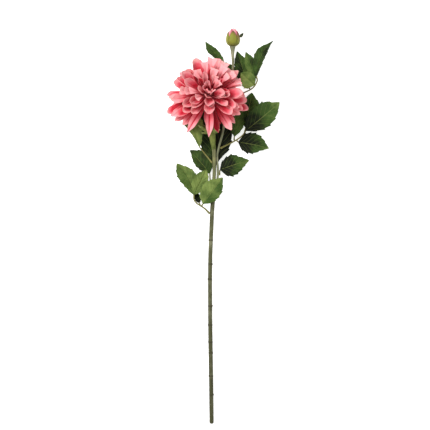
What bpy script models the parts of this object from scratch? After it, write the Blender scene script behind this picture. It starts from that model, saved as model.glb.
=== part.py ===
"""A cut stem of dahlia with one open bloom, a bud and sprays of leaves, lying on a surface.

Metres, +Z up. The stem lies along +Y and rises a little towards the bloom, which faces up and leans
to +Y. The origin is on the surface, under the middle of the whole spray.
"""

from collections import namedtuple
from math import cos, pi, radians, sin, sqrt

import bmesh
import bpy
from mathutils import Euler, Matrix, Vector
from mathutils.geometry import interpolate_bezier

GAP = 0.0003
SHEET = 0.0006
WELD = 0.00001
TURNED_SIDES = 20
TUBE_ROUNDNESS = 2
OBJECT_NAME = "dahlia_flower"

# The main stem, from its cut end to the fork.
STEM_ROUTE = (
    (-0.0219, -0.3496, 0.0041),
    (-0.0229, -0.2646, 0.0078),
    (-0.0243, -0.1750, 0.0098),
    (-0.0245, -0.0700, 0.0122),
    (-0.0221, 0.0000, 0.0140),
    (-0.0207, 0.0309, 0.0150),
    (-0.0178, 0.0637, 0.0163),
    (-0.0166, 0.0775, 0.0170),
)
STEM_RADIUS = 0.0038
STEM_END_ROUND = 0.0018
FORK_RADIUS = 0.0056
FORK_LENGTH = 0.0100
KNOTS = (-0.298, -0.2646, -0.224, -0.2046, -0.1746, -0.141, -0.0934, -0.0669, -0.0245)
KNOT_RISE = 0.0010
KNOT_HALF_LENGTH = 0.0030

# The flower stalk and the trumpet-shaped calyx on it.
FLOWER_STALK = (
    (-0.0186, 0.0781, 0.0170),
    (-0.0173, 0.0880, 0.0173),
    (-0.0171, 0.1120, 0.0182),
    (-0.0174, 0.1250, 0.0187),
    (-0.0179, 0.1362, 0.0188),
)
FLOWER_STALK_RADIUS = 0.0032

BLOOM_BASE = Vector((-0.0265, 0.2243, 0.0449))
BLOOM_LEAN = radians(20)
# The calyx bends from the stalk's end up into the bloom's axis, and ends this far behind its base.
CALYX_FOOT = Vector((-0.0180, 0.1369, 0.0189))
CALYX_FOOT_HANDLE = Vector((-0.0240, 0.1850, 0.0130))
CALYX_TOP_HANDLE = 0.0400
CALYX_TOP = 0.0045
CALYX_POINTS = 12
# (share of its length, radius) along the calyx, from the stalk's end to the cup's rim.
CALYX_RADII = ((0.0, 0.0034), (0.19, 0.0060), (0.36, 0.0078), (0.80, 0.0092), (1.0, 0.0125))
# The sepals spread from the calyx at this point of its length.
SEPAL_SEAT_INDEX = 2
SEPAL_TIPS = (
    (-0.0450, 0.1767, 0.0260),
    (-0.0395, 0.1640, 0.0190),
    (-0.0130, 0.1760, 0.0310),
    (-0.0070, 0.1700, 0.0230),
    (-0.0120, 0.1800, 0.0100),
    (-0.0380, 0.1800, 0.0060),
)
SEPAL_WIDTH = 0.0042
SEPAL_ROWS = 3

# The receptacle is a tapering peg along the bloom's axis. Each whorl of petals is threaded on it.
PEG_RADIUS = 0.0045
PEG_TAPER = 0.095
PEG_FOOT = -0.0041
PEG_TOP = 0.0245

# name, angle from the axis (degrees), blade length, petals, turn (of one spacing), seat height,
# blade width, half-angle of the cupped section (degrees), outward bend (degrees), and how far the
# petals at the bloom's foot tip outwards and those at its head inwards (degrees)
Whorl = namedtuple("Whorl", "name angle length count turn seat width cup bend droop")
WHORLS = (
    Whorl("petal_whorl_1", 107, 0.0660, 12, 5.453, 0.0000, 0.0174, 38, 14, 0),
    Whorl("petal_whorl_2", 93, 0.0660, 11, 0.50, 0.0025, 0.0185, 42, 10, 0),
    Whorl("petal_whorl_3", 81, 0.0640, 13, 0.45, 0.0050, 0.0185, 46, 8, 0),
    Whorl("petal_whorl_4", 70, 0.0610, 14, 0.05, 0.0075, 0.0175, 50, 6, 2),
    Whorl("petal_whorl_5", 59, 0.0560, 14, 0.50, 0.0100, 0.0165, 54, 4, 3),
    Whorl("petal_whorl_6", 48, 0.0500, 13, 0.50, 0.0127, 0.0128, 58, 3, 5),
    Whorl("petal_whorl_7", 37, 0.0430, 11, 0.00, 0.0158, 0.0106, 60, 3, 5),
    Whorl("petal_whorl_8", 25, 0.0365, 7, 0.15, 0.0190, 0.0100, 62, 2, 8),
)
HUB_SLANT = 0.0040
# The blade starts this share of its bend nearer the axis, so that its middle keeps the whorl's angle.
BEND_START = 0.4
ROOT_WIDTH = 0.0024
# The share of the full cupping that a petal has at its root.
ROOT_CUP = 0.3
PETAL_ROWS = 4
WIDEST_AT = 0.78
# The power that a petal's width grows with from its narrow root.
FLARE = 1.6
TIP_SHARE = 0.42
# Petals left out at the foot of the bloom, where it opens: whorl name, azimuths from and to.
OPENING = {
    "petal_whorl_1": (185, 205),
    "petal_whorl_3": (140, 220),
    "petal_whorl_4": (142, 218),
    "petal_whorl_5": (158, 202),
}

# The bud and its stalk.
BUD_STALK = (
    ((-0.0127, 0.0782, 0.0166), 0.0021),
    ((-0.0112, 0.0870, 0.0162), 0.0021),
    ((-0.0111, 0.1025, 0.0154), 0.0020),
    ((-0.0122, 0.1237, 0.0142), 0.0020),
    ((-0.0092, 0.1390, 0.0128), 0.0020),
    ((-0.0018, 0.1679, 0.0098), 0.0020),
    ((0.0072, 0.2250, 0.0052), 0.0019),
    ((0.0116, 0.2560, 0.0042), 0.0019),
    ((0.0160, 0.2819, 0.0078), 0.0022),
    ((0.0152, 0.3023, 0.0116), 0.0027),
    ((0.0151, 0.3100, 0.0122), 0.0036),
    ((0.0151, 0.3172, 0.0126), 0.0053),
)
BUD_FOOT = Vector((0.0157, 0.3164, 0.0132))
BUD_LEAN = radians(-4)
BUD_LENGTH = 0.0324
BUD_RADIUS = 0.0122
BUD_WALL = 0.0011
# The bud's profile: how low its widest part sits, and how full its shoulders are.
BUD_SKEW = 0.72
BUD_FULLNESS = 0.52
BUD_FOOT_SHARE = 0.06
BUD_CALYX_SHARE = 0.80
BUD_TIP_SHARE = 0.985
BUD_LEAST_RADIUS = 0.0008
BUD_PROFILE_STEPS = 7
SIDE_SEPAL = ((0.0281, 0.3335, 0.0140), (0.0341, 0.3401, 0.0175))
SIDE_SEPAL_WIDTH = 0.0050

# Stiff leaf wires: name, radius, points.
Wire = namedtuple("Wire", "name radius points")
WIRES = (
    Wire(
        "wire_left_low",
        0.0013,
        (
            (-0.0258, 0.0226, 0.0152),
            (-0.0340, 0.0309, 0.0168),
            (-0.0427, 0.0365, 0.0160),
            (-0.0489, 0.0411, 0.0152),
            (-0.0529, 0.0468, 0.0146),
            (-0.0531, 0.0548, 0.0142),
        ),
    ),
    Wire(
        "wire_left_low_front",
        0.0009,
        ((-0.0398, 0.0348, 0.0190), (-0.0383, 0.0370, 0.0200), (-0.0372, 0.0388, 0.0210)),
    ),
    Wire(
        "wire_left_low_back",
        0.0009,
        ((-0.0425, 0.0370, 0.0132), (-0.0430, 0.0390, 0.0115), (-0.0436, 0.0412, 0.0098)),
    ),
    Wire(
        "wire_left_middle",
        0.0010,
        ((-0.0228, 0.0735, 0.0158), (-0.0246, 0.0830, 0.0134), (-0.0250, 0.0925, 0.0120)),
    ),
    Wire(
        "wire_left_upper",
        0.0011,
        (
            (-0.0216, 0.1120, 0.0196),
            (-0.0310, 0.1240, 0.0180),
            (-0.0400, 0.1350, 0.0168),
            (-0.0428, 0.1390, 0.0164),
        ),
    ),
    Wire(
        "wire_behind",
        0.0010,
        ((-0.0160, 0.0850, 0.0124), (-0.0152, 0.0960, 0.0092), (-0.0145, 0.1090, 0.0074)),
    ),
    Wire(
        "wire_right_middle",
        0.0010,
        ((-0.0078, 0.0905, 0.0156), (-0.0076, 0.0945, 0.0146), (-0.0074, 0.0985, 0.0138)),
    ),
    Wire(
        "wire_right",
        0.0013,
        (
            (-0.0058, 0.1376, 0.0134),
            (0.0115, 0.1463, 0.0140),
            (0.0247, 0.1537, 0.0148),
            (0.0335, 0.1608, 0.0156),
            (0.0380, 0.1676, 0.0162),
        ),
    ),
    Wire(
        "wire_right_lower",
        0.0009,
        ((0.0232, 0.1500, 0.0146), (0.0240, 0.1491, 0.0150), (0.0248, 0.1485, 0.0152)),
    ),
    Wire(
        "wire_right_inner",
        0.0009,
        ((0.0179, 0.1524, 0.0139), (0.0180, 0.1550, 0.0128), (0.0183, 0.1576, 0.0116)),
    ),
    Wire(
        "wire_right_back",
        0.0009,
        ((0.0362, 0.1652, 0.0134), (0.0370, 0.1690, 0.0114), (0.0380, 0.1732, 0.0096)),
    ),
    Wire(
        "wire_top",
        0.0012,
        (
            (0.0075, 0.2050, 0.0070),
            (0.0212, 0.2261, 0.0078),
            (0.0330, 0.2345, 0.0090),
            (0.0459, 0.2406, 0.0112),
            (0.0529, 0.2460, 0.0134),
            (0.0584, 0.2561, 0.0152),
            (0.0572, 0.2638, 0.0158),
        ),
    ),
    Wire(
        "wire_top_back",
        0.0009,
        ((0.0455, 0.2425, 0.0090), (0.0440, 0.2470, 0.0058), (0.0412, 0.2530, 0.0030)),
    ),
    Wire(
        "wire_top_left",
        0.0010,
        ((0.0098, 0.2630, 0.0058), (0.0062, 0.2710, 0.0064), (0.0030, 0.2782, 0.0070)),
    ),
)

# Leaf blades: base, tip, width, roll about the midrib (degrees), rise of the midrib.
Leaf = namedtuple("Leaf", "name base tip width roll arch")
LEAVES = (
    Leaf("leaf_top_left", (0.0026, 0.2788, 0.0070), (-0.0327, 0.3271, 0.0008), 0.0175, 12, 0.004),
    Leaf("leaf_top_right", (0.0572, 0.2645, 0.0158), (0.0865, 0.3279, 0.0010), 0.0200, -14, 0.008),
    Leaf("leaf_top_back", (0.0410, 0.2530, 0.0045), (0.0235, 0.3090, 0.0045), 0.0265, 0, 0.000),
    Leaf("leaf_top_middle", (0.0562, 0.2602, 0.0137), (0.0385, 0.3078, 0.0095), 0.0210, 4, 0.001),
    Leaf("leaf_top_inner", (0.0535, 0.2485, 0.0152), (0.0300, 0.2700, 0.0165), 0.0260, 0, 0.001),
    Leaf("leaf_top_far", (0.0405, 0.2525, 0.0014), (0.0028, 0.2896, 0.0010), 0.0170, 0, 0.000),
    Leaf("leaf_right_large", (0.0385, 0.1683, 0.0164), (0.0987, 0.2192, 0.0012), 0.0430, 6, 0.008),
    Leaf("leaf_right_back", (0.0384, 0.1740, 0.0092), (0.0494, 0.2358, 0.0030), 0.0340, -4, 0.001),
    Leaf("leaf_right_lower", (0.0253, 0.1481, 0.0152), (0.0794, 0.1378, 0.0030), 0.0380, -6, 0.006),
    Leaf("leaf_right_inner", (0.0184, 0.1583, 0.0114), (0.0225, 0.2130, 0.0090), 0.0240, 0, 0.002),
    Leaf("leaf_behind_right", (-0.0138, 0.1080, 0.0092), (0.0040, 0.2030, 0.0024), 0.0340, 2, 0.000),
    Leaf("leaf_behind_left", (-0.0150, 0.1080, 0.0053), (-0.0390, 0.2120, 0.0020), 0.0320, 8, 0.000),
    Leaf("leaf_left_upper", (-0.0432, 0.1396, 0.0163), (-0.0620, 0.2020, 0.0080), 0.0320, 4, 0.002),
    Leaf("leaf_left_middle", (-0.0252, 0.0931, 0.0119), (-0.0600, 0.1340, 0.0090), 0.0300, 6, 0.003),
    Leaf("leaf_right_middle", (-0.0071, 0.0996, 0.0134), (0.0441, 0.1163, 0.0012), 0.0390, -6, 0.005),
    Leaf("leaf_low_outer", (-0.0534, 0.0554, 0.0140), (-0.0833, 0.1105, 0.0008), 0.0300, 10, 0.005),
    Leaf("leaf_low_inner", (-0.0525, 0.0556, 0.0150), (-0.0312, 0.0995, 0.0140), 0.0250, 0, 0.003),
    Leaf("leaf_low_front", (-0.0369, 0.0393, 0.0212), (-0.0025, 0.0852, 0.0270), 0.0310, 0, 0.006),
    Leaf("leaf_low_back", (-0.0439, 0.0416, 0.0094), (-0.0510, 0.0620, 0.0040), 0.0110, 0, 0.000),
)
LEAF_ROWS = 6
LEAF_STUB = 0.0012
LEAF_FOLD = 0.16
# A leaf's outline: how near the base its widest part is, and how full its shoulders are.
LEAF_SKEW = 0.72
LEAF_FULLNESS = 0.85

GREEN = (0.09, 0.17, 0.05)
STALK_GREEN = (0.20, 0.20, 0.09)
STEM_GREEN = (0.12, 0.13, 0.06)
BUD_GREEN = (0.30, 0.33, 0.05)
CORAL = (0.85, 0.30, 0.32)
CRIMSON = (0.42, 0.02, 0.06)
DRY = 0.0
MATT = 0.7
SATIN = 0.55

UP = Vector((0, 0, 1))


def clear_scene():
    for item in list(bpy.data.objects):
        bpy.data.objects.remove(item, do_unlink=True)


def make_collection(name):
    collection = bpy.data.collections.new(name)
    bpy.context.scene.collection.children.link(collection)
    return collection


def finish(item, colour, roughness):
    material = bpy.data.materials.new(item.name)
    material.use_nodes = True
    shader = material.node_tree.nodes["Principled BSDF"]
    shader.inputs["Base Color"].default_value = (*colour, 1)
    shader.inputs["Roughness"].default_value = roughness
    shader.inputs["Metallic"].default_value = DRY
    item.data.materials.append(material)


def add_tube(collection, name, points, radii):
    """A round tube through the points, with a radius at each."""
    curve = bpy.data.curves.new(name, "CURVE")
    curve.dimensions = "3D"
    curve.bevel_depth = 1.0
    curve.bevel_resolution = TUBE_ROUNDNESS
    curve.use_fill_caps = True
    spline = curve.splines.new("POLY")
    spline.points.add(len(points) - 1)
    for spot, place, radius in zip(spline.points, points, radii):
        spot.co = (*place, 1)
        spot.radius = radius
    item = bpy.data.objects.new(name, curve)
    collection.objects.link(item)
    return item


def add_sheet(collection, name, mesh_builder):
    """A thin pressed sheet: the open surface that the builder makes, with its thickness."""
    shape = bmesh.new()
    mesh_builder(shape)
    mesh = bpy.data.meshes.new(name)
    shape.to_mesh(mesh)
    shape.free()
    mesh.shade_smooth()
    item = bpy.data.objects.new(name, mesh)
    collection.objects.link(item)
    wall = item.modifiers.new("thickness", "SOLIDIFY")
    wall.thickness = SHEET
    wall.offset = 0
    return item


def add_turned(collection, name, outline):
    """A solid turned about its own Z axis, from (radius, height) pairs running from top to bottom."""
    mesh = bpy.data.meshes.new(name)
    spots = [(radius, 0, height) for radius, height in outline]
    mesh.from_pydata(spots, [(i, i + 1) for i in range(len(spots) - 1)], [])
    item = bpy.data.objects.new(name, mesh)
    collection.objects.link(item)
    lathe = item.modifiers.new("turning", "SCREW")
    lathe.steps = TURNED_SIDES
    lathe.render_steps = TURNED_SIDES
    lathe.use_merge_vertices = True
    lathe.merge_threshold = WELD
    return item


def stem_points():
    """The stem's route with a raised ring at each knot and a rounded cut end."""
    route = [Vector(p) for p in STEM_ROUTE]
    radii = {p.y: STEM_RADIUS for p in route}
    radii[route[0].y] = STEM_RADIUS - STEM_END_ROUND
    radii[route[0].y + STEM_END_ROUND] = STEM_RADIUS
    radii[route[-1].y] = FORK_RADIUS
    radii[route[-1].y - FORK_LENGTH] = STEM_RADIUS
    for knot in KNOTS:
        radii[knot - KNOT_HALF_LENGTH] = STEM_RADIUS
        radii[knot] = STEM_RADIUS + KNOT_RISE
        radii[knot + KNOT_HALF_LENGTH] = STEM_RADIUS
    points = []
    for y in sorted(radii):
        start, end = next((a, b) for a, b in zip(route, route[1:]) if y <= b.y + GAP)
        points.append(start.lerp(end, (y - start.y) / (end.y - start.y)))
    return points, [radii[y] for y in sorted(radii)]


def blade_share(along):
    """A petal's half-width at a point along it, as a share of the largest."""
    if along < WIDEST_AT:
        return sin(pi / 2 * along / WIDEST_AT) ** FLARE
    past = (along - WIDEST_AT) / (1 - WIDEST_AT)
    return TIP_SHARE + (1 - TIP_SHARE) * sqrt(max(0, 1 - past * past))


def petal_point(whorl, azimuth, along, across):
    """A point of one petal: along runs from root to tip, across from -1 to 1."""
    outward = Vector((sin(azimuth), cos(azimuth), 0))
    sideways = Vector((cos(azimuth), -sin(azimuth), 0))
    start = radians(whorl.angle - BEND_START * whorl.bend - whorl.droop * cos(azimuth))
    mean = start + radians(whorl.bend) * along / 2
    here = start + radians(whorl.bend) * along
    root = hub_point(whorl, azimuth, 1)
    spine = root + whorl.length * along * (sin(mean) * outward + cos(mean) * UP)
    inward = sin(here) * UP - cos(here) * outward
    half = (ROOT_WIDTH + (whorl.width - ROOT_WIDTH) * blade_share(along)) / 2
    cup = radians(whorl.cup) * min(1, ROOT_CUP + along)
    bow = half / sin(cup)
    return spine + bow * sin(cup * across) * sideways + bow * (1 - cos(cup * across)) * inward


def hub_point(whorl, azimuth, share):
    """A point of the hub ring, from its hole (0) to its rim (1)."""
    slope = radians(whorl.angle - BEND_START * whorl.bend)
    hole = PEG_RADIUS - PEG_TAPER * whorl.seat + GAP + SHEET
    radius = hole + share * HUB_SLANT * sin(slope)
    height = whorl.seat + share * HUB_SLANT * cos(slope)
    return Vector((radius * sin(azimuth), radius * cos(azimuth), height))


def left_out(whorl, azimuth):
    start, end = OPENING.get(whorl.name, (0, 0))
    return start < (azimuth * 180 / pi) % 360 < end


def whorl_surface(whorl):
    """Builds the open surface of one whorl: a hub ring and the petals on its rim."""

    def build(shape):
        sector = 2 * pi / whorl.count
        for index in range(whorl.count):
            azimuth = (index + whorl.turn) * sector
            grid = bmesh.ops.create_grid(shape, x_segments=4, y_segments=PETAL_ROWS + 1, size=1)
            spots = grid["verts"]
            surplus = []
            for spot in spots:
                column = round(2 * spot.co.x)
                row = round((spot.co.y + 1) / 2 * (PETAL_ROWS + 1))
                if row > 1 and (abs(column) == 2 or left_out(whorl, azimuth)):
                    surplus.append(spot)
                elif row > 1:
                    spot.co = petal_point(whorl, azimuth, (row - 1) / PETAL_ROWS, column)
                else:
                    rim = hub_point(whorl, azimuth, 1).xy.length
                    root = ROOT_WIDTH / 2 / rim
                    turn = {-2: -sector / 2, -1: -root, 0: 0, 1: root, 2: sector / 2}[column]
                    spot.co = hub_point(whorl, azimuth + turn, row)
            bmesh.ops.delete(shape, geom=surplus, context="VERTS")
        bmesh.ops.remove_doubles(shape, verts=shape.verts, dist=WELD)
        bmesh.ops.recalc_face_normals(shape, faces=shape.faces)

    return build


def leaf_share(along):
    """A leaf's half-width at a point along it, as a share of the largest."""
    return sin(pi * along**LEAF_SKEW) ** LEAF_FULLNESS if 0 < along < 1 else 0


def blade_surface(base, tip, width, roll=0.0, arch=0.0, rows=LEAF_ROWS, fold=LEAF_FOLD):
    """Builds the open surface of one leaf or sepal, folded a little along its midrib."""
    base, tip = Vector(base), Vector(tip)
    along_way = (tip - base).normalized()
    side = along_way.cross(UP).normalized()
    side = Matrix.Rotation(radians(roll), 3, along_way) @ side
    top = side.cross(along_way)

    def build(shape):
        grid = bmesh.ops.create_grid(shape, x_segments=2, y_segments=rows, size=1)
        for spot in grid["verts"]:
            across = spot.co.x
            along = (spot.co.y + 1) / 2
            half = LEAF_STUB / 2 + (width - LEAF_STUB) / 2 * leaf_share(along)
            middle = base.lerp(tip, along) + arch * sin(pi * along) * top
            spot.co = middle + half * across * side + fold * half * abs(across) * top
        bmesh.ops.recalc_face_normals(shape, faces=shape.faces)

    return build


def bud_radius(share):
    """The bud's outer radius at a share of its height: an egg with its blunt end down."""
    return BUD_RADIUS * sin(pi * share**BUD_SKEW) ** BUD_FULLNESS


def bud_outline(inset, top_share):
    """(radius, height) pairs up the bud, inside its outer surface by the inset."""
    outline = []
    for step in range(BUD_PROFILE_STEPS + 1):
        share = BUD_FOOT_SHARE + (top_share - BUD_FOOT_SHARE) * step / BUD_PROFILE_STEPS
        outline.append((max(bud_radius(share) - inset, BUD_LEAST_RADIUS), share * BUD_LENGTH))
    return outline


def make_stem_and_stalks(collection):
    points, radii = stem_points()
    finish(add_tube(collection, "main_stem", points, radii), STEM_GREEN, MATT)
    radii = [FLOWER_STALK_RADIUS] * len(FLOWER_STALK)
    finish(add_tube(collection, "flower_stalk", FLOWER_STALK, radii), STALK_GREEN, MATT)
    points, radii = zip(*BUD_STALK)
    bud_stalk = add_tube(collection, "bud_stalk", points, radii)
    finish(bud_stalk, STALK_GREEN, MATT)


def calyx_radius(share):
    """The calyx's radius at a share of its length."""
    start, end = next((a, b) for a, b in zip(CALYX_RADII, CALYX_RADII[1:]) if share <= b[0])
    return start[1] + (end[1] - start[1]) * (share - start[0]) / (end[0] - start[0])


def make_calyx(collection, axis):
    handle, top = BLOOM_BASE - CALYX_TOP_HANDLE * axis, BLOOM_BASE - CALYX_TOP * axis
    points = interpolate_bezier(CALYX_FOOT, CALYX_FOOT_HANDLE, handle, top, CALYX_POINTS)
    radii = [calyx_radius(step / (CALYX_POINTS - 1)) for step in range(CALYX_POINTS)]
    finish(add_tube(collection, "calyx", points, radii), STALK_GREEN, SATIN)
    middle, radius = points[SEPAL_SEAT_INDEX], radii[SEPAL_SEAT_INDEX]
    for number, tip in enumerate(SEPAL_TIPS, 1):
        outward = Vector(tip) - middle
        outward.y = 0
        seat = middle + outward.normalized() * (radius + GAP)
        surface = blade_surface(seat, tip, SEPAL_WIDTH, rows=SEPAL_ROWS, fold=0)
        finish(add_sheet(collection, f"sepal_{number}", surface), STALK_GREEN, SATIN)


def make_bloom(collection):
    """The peg and the whorls, parented to an empty that stands at the bloom's base and leans."""
    holder = bpy.data.objects.new("bloom_axis", None)
    collection.objects.link(holder)
    holder.location = BLOOM_BASE
    holder.rotation_euler = Euler((-BLOOM_LEAN, 0, 0))
    outline = (
        (0, PEG_TOP),
        (PEG_RADIUS - PEG_TAPER * PEG_TOP, PEG_TOP),
        (PEG_RADIUS - PEG_TAPER * PEG_FOOT, PEG_FOOT),
        (0, PEG_FOOT),
    )
    peg = add_turned(collection, "receptacle", outline)
    finish(peg, CRIMSON, SATIN)
    peg.parent = holder
    for whorl in WHORLS:
        petals = add_sheet(collection, whorl.name, whorl_surface(whorl))
        finish(petals, CORAL, SATIN)
        petals.parent = holder


def make_bud(collection):
    """The bud's green cup, the closed petals in it and the sepal that stands out at its side."""
    pose = Matrix.Translation(BUD_FOOT) @ Euler((BUD_LEAN - pi / 2, 0, 0)).to_matrix().to_4x4()
    outer = bud_outline(0, BUD_CALYX_SHARE)
    inner = bud_outline(BUD_WALL, BUD_CALYX_SHARE)[1:]
    outline = [(0, inner[0][1]), *inner, *reversed(outer), (0, outer[0][1])]
    cup = add_turned(collection, "bud_calyx", outline)
    finish(cup, BUD_GREEN, SATIN)
    floor = inner[0][1] + 2 * GAP
    core = [pair for pair in bud_outline(BUD_WALL + 2 * GAP, BUD_TIP_SHARE) if pair[1] > floor]
    petals = add_turned(collection, "bud_petals", [(0, BUD_LENGTH), *reversed(core), (0, core[0][1])])
    finish(petals, CORAL, SATIN)
    for item in (cup, petals):
        item.matrix_world = pose
    surface = blade_surface(*SIDE_SEPAL, SIDE_SEPAL_WIDTH, rows=SEPAL_ROWS, fold=0)
    finish(add_sheet(collection, "bud_side_sepal", surface), GREEN, SATIN)


def make_leaves(collection):
    for wire in WIRES:
        radii = [wire.radius] * len(wire.points)
        finish(add_tube(collection, wire.name, wire.points, radii), STALK_GREEN, MATT)
    for leaf in LEAVES:
        surface = blade_surface(leaf.base, leaf.tip, leaf.width, leaf.roll, leaf.arch)
        finish(add_sheet(collection, leaf.name, surface), GREEN, SATIN)


def main():
    clear_scene()
    collection = make_collection(OBJECT_NAME)
    axis = Vector((0, sin(BLOOM_LEAN), cos(BLOOM_LEAN)))
    make_stem_and_stalks(collection)
    make_calyx(collection, axis)
    make_bloom(collection)
    make_bud(collection)
    make_leaves(collection)


main()
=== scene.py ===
"""Finishes a cut dahlia stem: its bloom, bud, leaves, stalks and stem, lying on a pale floor.

Metres, +Z up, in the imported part's own frame: the stem runs along +Y and the bloom faces up. Each
piece stands for one node of the part and rides on its body.
"""

import logging
from dataclasses import dataclass, field
from enum import Enum
from math import cos, pi, radians, sin
from typing import Any, Callable, Mapping, Sequence

import bpy
import numpy as np
from mathutils import Matrix, Vector
from mathutils.geometry import interpolate_bezier


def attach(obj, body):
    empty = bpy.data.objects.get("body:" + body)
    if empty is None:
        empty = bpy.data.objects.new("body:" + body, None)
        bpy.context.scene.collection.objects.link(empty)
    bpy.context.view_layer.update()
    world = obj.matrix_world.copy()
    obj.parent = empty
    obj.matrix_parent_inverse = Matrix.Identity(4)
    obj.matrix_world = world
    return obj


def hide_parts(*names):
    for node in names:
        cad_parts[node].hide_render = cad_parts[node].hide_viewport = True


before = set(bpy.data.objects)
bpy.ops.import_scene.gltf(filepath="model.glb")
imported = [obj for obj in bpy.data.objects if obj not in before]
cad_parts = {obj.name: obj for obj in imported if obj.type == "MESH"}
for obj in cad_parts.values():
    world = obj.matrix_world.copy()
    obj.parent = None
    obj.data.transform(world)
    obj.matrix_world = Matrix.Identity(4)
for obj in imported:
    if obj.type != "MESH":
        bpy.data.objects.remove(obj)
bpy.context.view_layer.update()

LOG = logging.getLogger("dahlia")
BODY = "root"
UP = Vector((0, 0, 1))
UV = "UVMap"
SHARP = radians(48)

Point = tuple[float, float, float]
Colour = tuple[float, float, float, float]


def colour(code: str) -> Colour:
    """Turns a six-digit display colour into linear light.

    Args:
        code: red, green and blue as two hexadecimal digits each.

    Returns:
        The linear red, green, blue and an alpha of one.
    """
    shares = [int(code[i : i + 2], 16) / 255 for i in (0, 2, 4)]
    linear = [s / 12.92 if s < 0.04045 else ((s + 0.055) / 1.055) ** 2.4 for s in shares]
    return (linear[0], linear[1], linear[2], 1.0)


def colours(codes: str) -> tuple[Colour, ...]:
    """The colours of a row of display codes with spaces between."""
    return tuple(colour(code) for code in codes.split())


def eased(values: np.ndarray, low: float, high: float) -> np.ndarray:
    """A smooth step of an array, from zero at low to one at high."""
    share = np.clip((values - low) / (high - low), 0, 1)
    return share * share * (3 - 2 * share)


def unit(vector: np.ndarray) -> np.ndarray:
    """The vector at a length of one."""
    return vector / np.linalg.norm(vector)


# ------ Node trees ------


def operator_method(operation: str, reflected: bool = False) -> Callable[..., "Signal"]:
    """Makes a Signal's method for one operation of the Math node.

    Args:
        operation: the node's operation.
        reflected: whether the other value comes first, as in 1 - mask.

    Returns:
        The method, which adds the node and gives its result.
    """

    def method(self: "Signal", *others: Any) -> "Signal":
        """Adds the Math node."""
        values = (*others, self) if reflected else (self, *others)
        return self.graph.math(operation, *values)

    return method


class Signal:
    """One output of a node. Python arithmetic on it adds the Math nodes."""

    __add__ = operator_method("ADD")
    __radd__ = operator_method("ADD", reflected=True)
    __sub__ = operator_method("SUBTRACT")
    __rsub__ = operator_method("SUBTRACT", reflected=True)
    __mul__ = operator_method("MULTIPLY")
    __rmul__ = operator_method("MULTIPLY", reflected=True)
    __truediv__ = operator_method("DIVIDE")
    __mod__ = operator_method("FLOORED_MODULO")
    __pow__ = operator_method("POWER")
    __gt__ = operator_method("GREATER_THAN")
    __lt__ = operator_method("LESS_THAN")
    __abs__ = operator_method("ABSOLUTE")
    sine = operator_method("SINE")
    cosine = operator_method("COSINE")

    def __init__(self, graph: "Graph", socket: bpy.types.NodeSocket) -> None:
        """Wraps a socket.

        Args:
            graph: the tree that the socket belongs to.
            socket: the output that is wrapped.
        """
        self.graph = graph
        self.socket = socket

    def step(self, low: float, high: float) -> "Signal":
        """A smooth step.

        Args:
            low: where the step is still zero.
            high: where the step has reached one. It may be the smaller of the two.

        Returns:
            The share between zero and one.
        """
        values = {"Value": self, "From Min": low, "From Max": high}
        node = self.graph.node("ShaderNodeMapRange", {"interpolation_type": "SMOOTHSTEP"}, values)
        return Signal(self.graph, node.outputs["Result"])

    def band(self, middle: float, half_width: float) -> "Signal":
        """One at the middle, falling smoothly to zero at half a width on each side."""
        return abs(self - middle).step(half_width, 0.0)


class Graph:
    """A node tree that is being built."""

    def __init__(self, tree: bpy.types.NodeTree) -> None:
        """Takes the tree.

        Args:
            tree: an empty tree, or a new material's.
        """
        self.tree = tree

    def node(
        self,
        kind: str,
        settings: Mapping[str, Any] | None = None,
        values: Mapping[Any, Any] | None = None,
    ) -> bpy.types.Node:
        """Adds a node. Every node but Math is made here, and Math through here.

        Args:
            kind: the node's type.
            settings: its properties, which are set first because they change its sockets.
            values: a number, a tuple or a Signal for each socket, by identifier, name or index.

        Returns:
            The node.
        """
        node = self.tree.nodes.new(kind)
        for key, value in (settings or {}).items():
            setattr(node, key, value)
        for key, value in (values or {}).items():
            socket = self._input(node, key)
            if isinstance(value, Signal):
                self.tree.links.new(value.socket, socket)
            else:
                socket.default_value = value
        return node

    @staticmethod
    def _input(node: bpy.types.Node, key: Any) -> bpy.types.NodeSocket:
        """Finds an input by index, identifier or name."""
        if isinstance(key, int):
            return node.inputs[key]
        return next((s for s in node.inputs if s.identifier == key), None) or node.inputs[key]

    def math(self, operation: str, *values: Any) -> Signal:
        """Adds a Math node.

        Args:
            operation: the node's operation.
            values: its numbers or Signals, in order.

        Returns:
            The result.
        """
        node = self.node("ShaderNodeMath", {"operation": operation}, dict(enumerate(values)))
        return Signal(self, node.outputs[0])

    def mix(self, factor: Signal | float, first: Any, second: Any) -> Signal:
        """Mixes two colours.

        Args:
            factor: the share of the second.
            first: the colour at zero.
            second: the colour at one.

        Returns:
            The colour.
        """
        node = self.node(
            "ShaderNodeMix",
            {"data_type": "RGBA"},
            {"Factor_Float": factor, "A_Color": first, "B_Color": second},
        )
        found = next(s for s in node.outputs if s.identifier == "Result_Color")
        return Signal(self, found)

    def axes(self, vector: Signal) -> tuple[Signal, ...]:
        """The three numbers of a vector."""
        parts = self.node("ShaderNodeSeparateXYZ", None, {"Vector": vector})
        return tuple(Signal(self, parts.outputs[axis]) for axis in "XYZ")

    def laid(self, base: Any, *layers: tuple[Any, Any]) -> Signal:
        """Lays colours over each other.

        Args:
            base: the lowest colour.
            layers: the share and the colour of each layer, from the lowest up.

        Returns:
            The colour.
        """
        for share, shade in layers:
            base = self.mix(share, base, shade)
        return base

    def noise(self, place: Signal, scale: Signal | float, detail: float = 2.0) -> Signal:
        """A soft random pattern between zero and one.

        Args:
            place: the point that it is read at.
            scale: how many of its cells fit in a metre.
            detail: how many finer layers it has.

        Returns:
            The pattern.
        """
        values = {"Vector": place, "Scale": scale, "Detail": detail}
        node = self.node("ShaderNodeTexNoise", None, values)
        return Signal(self, node.outputs["Fac"])


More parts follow.
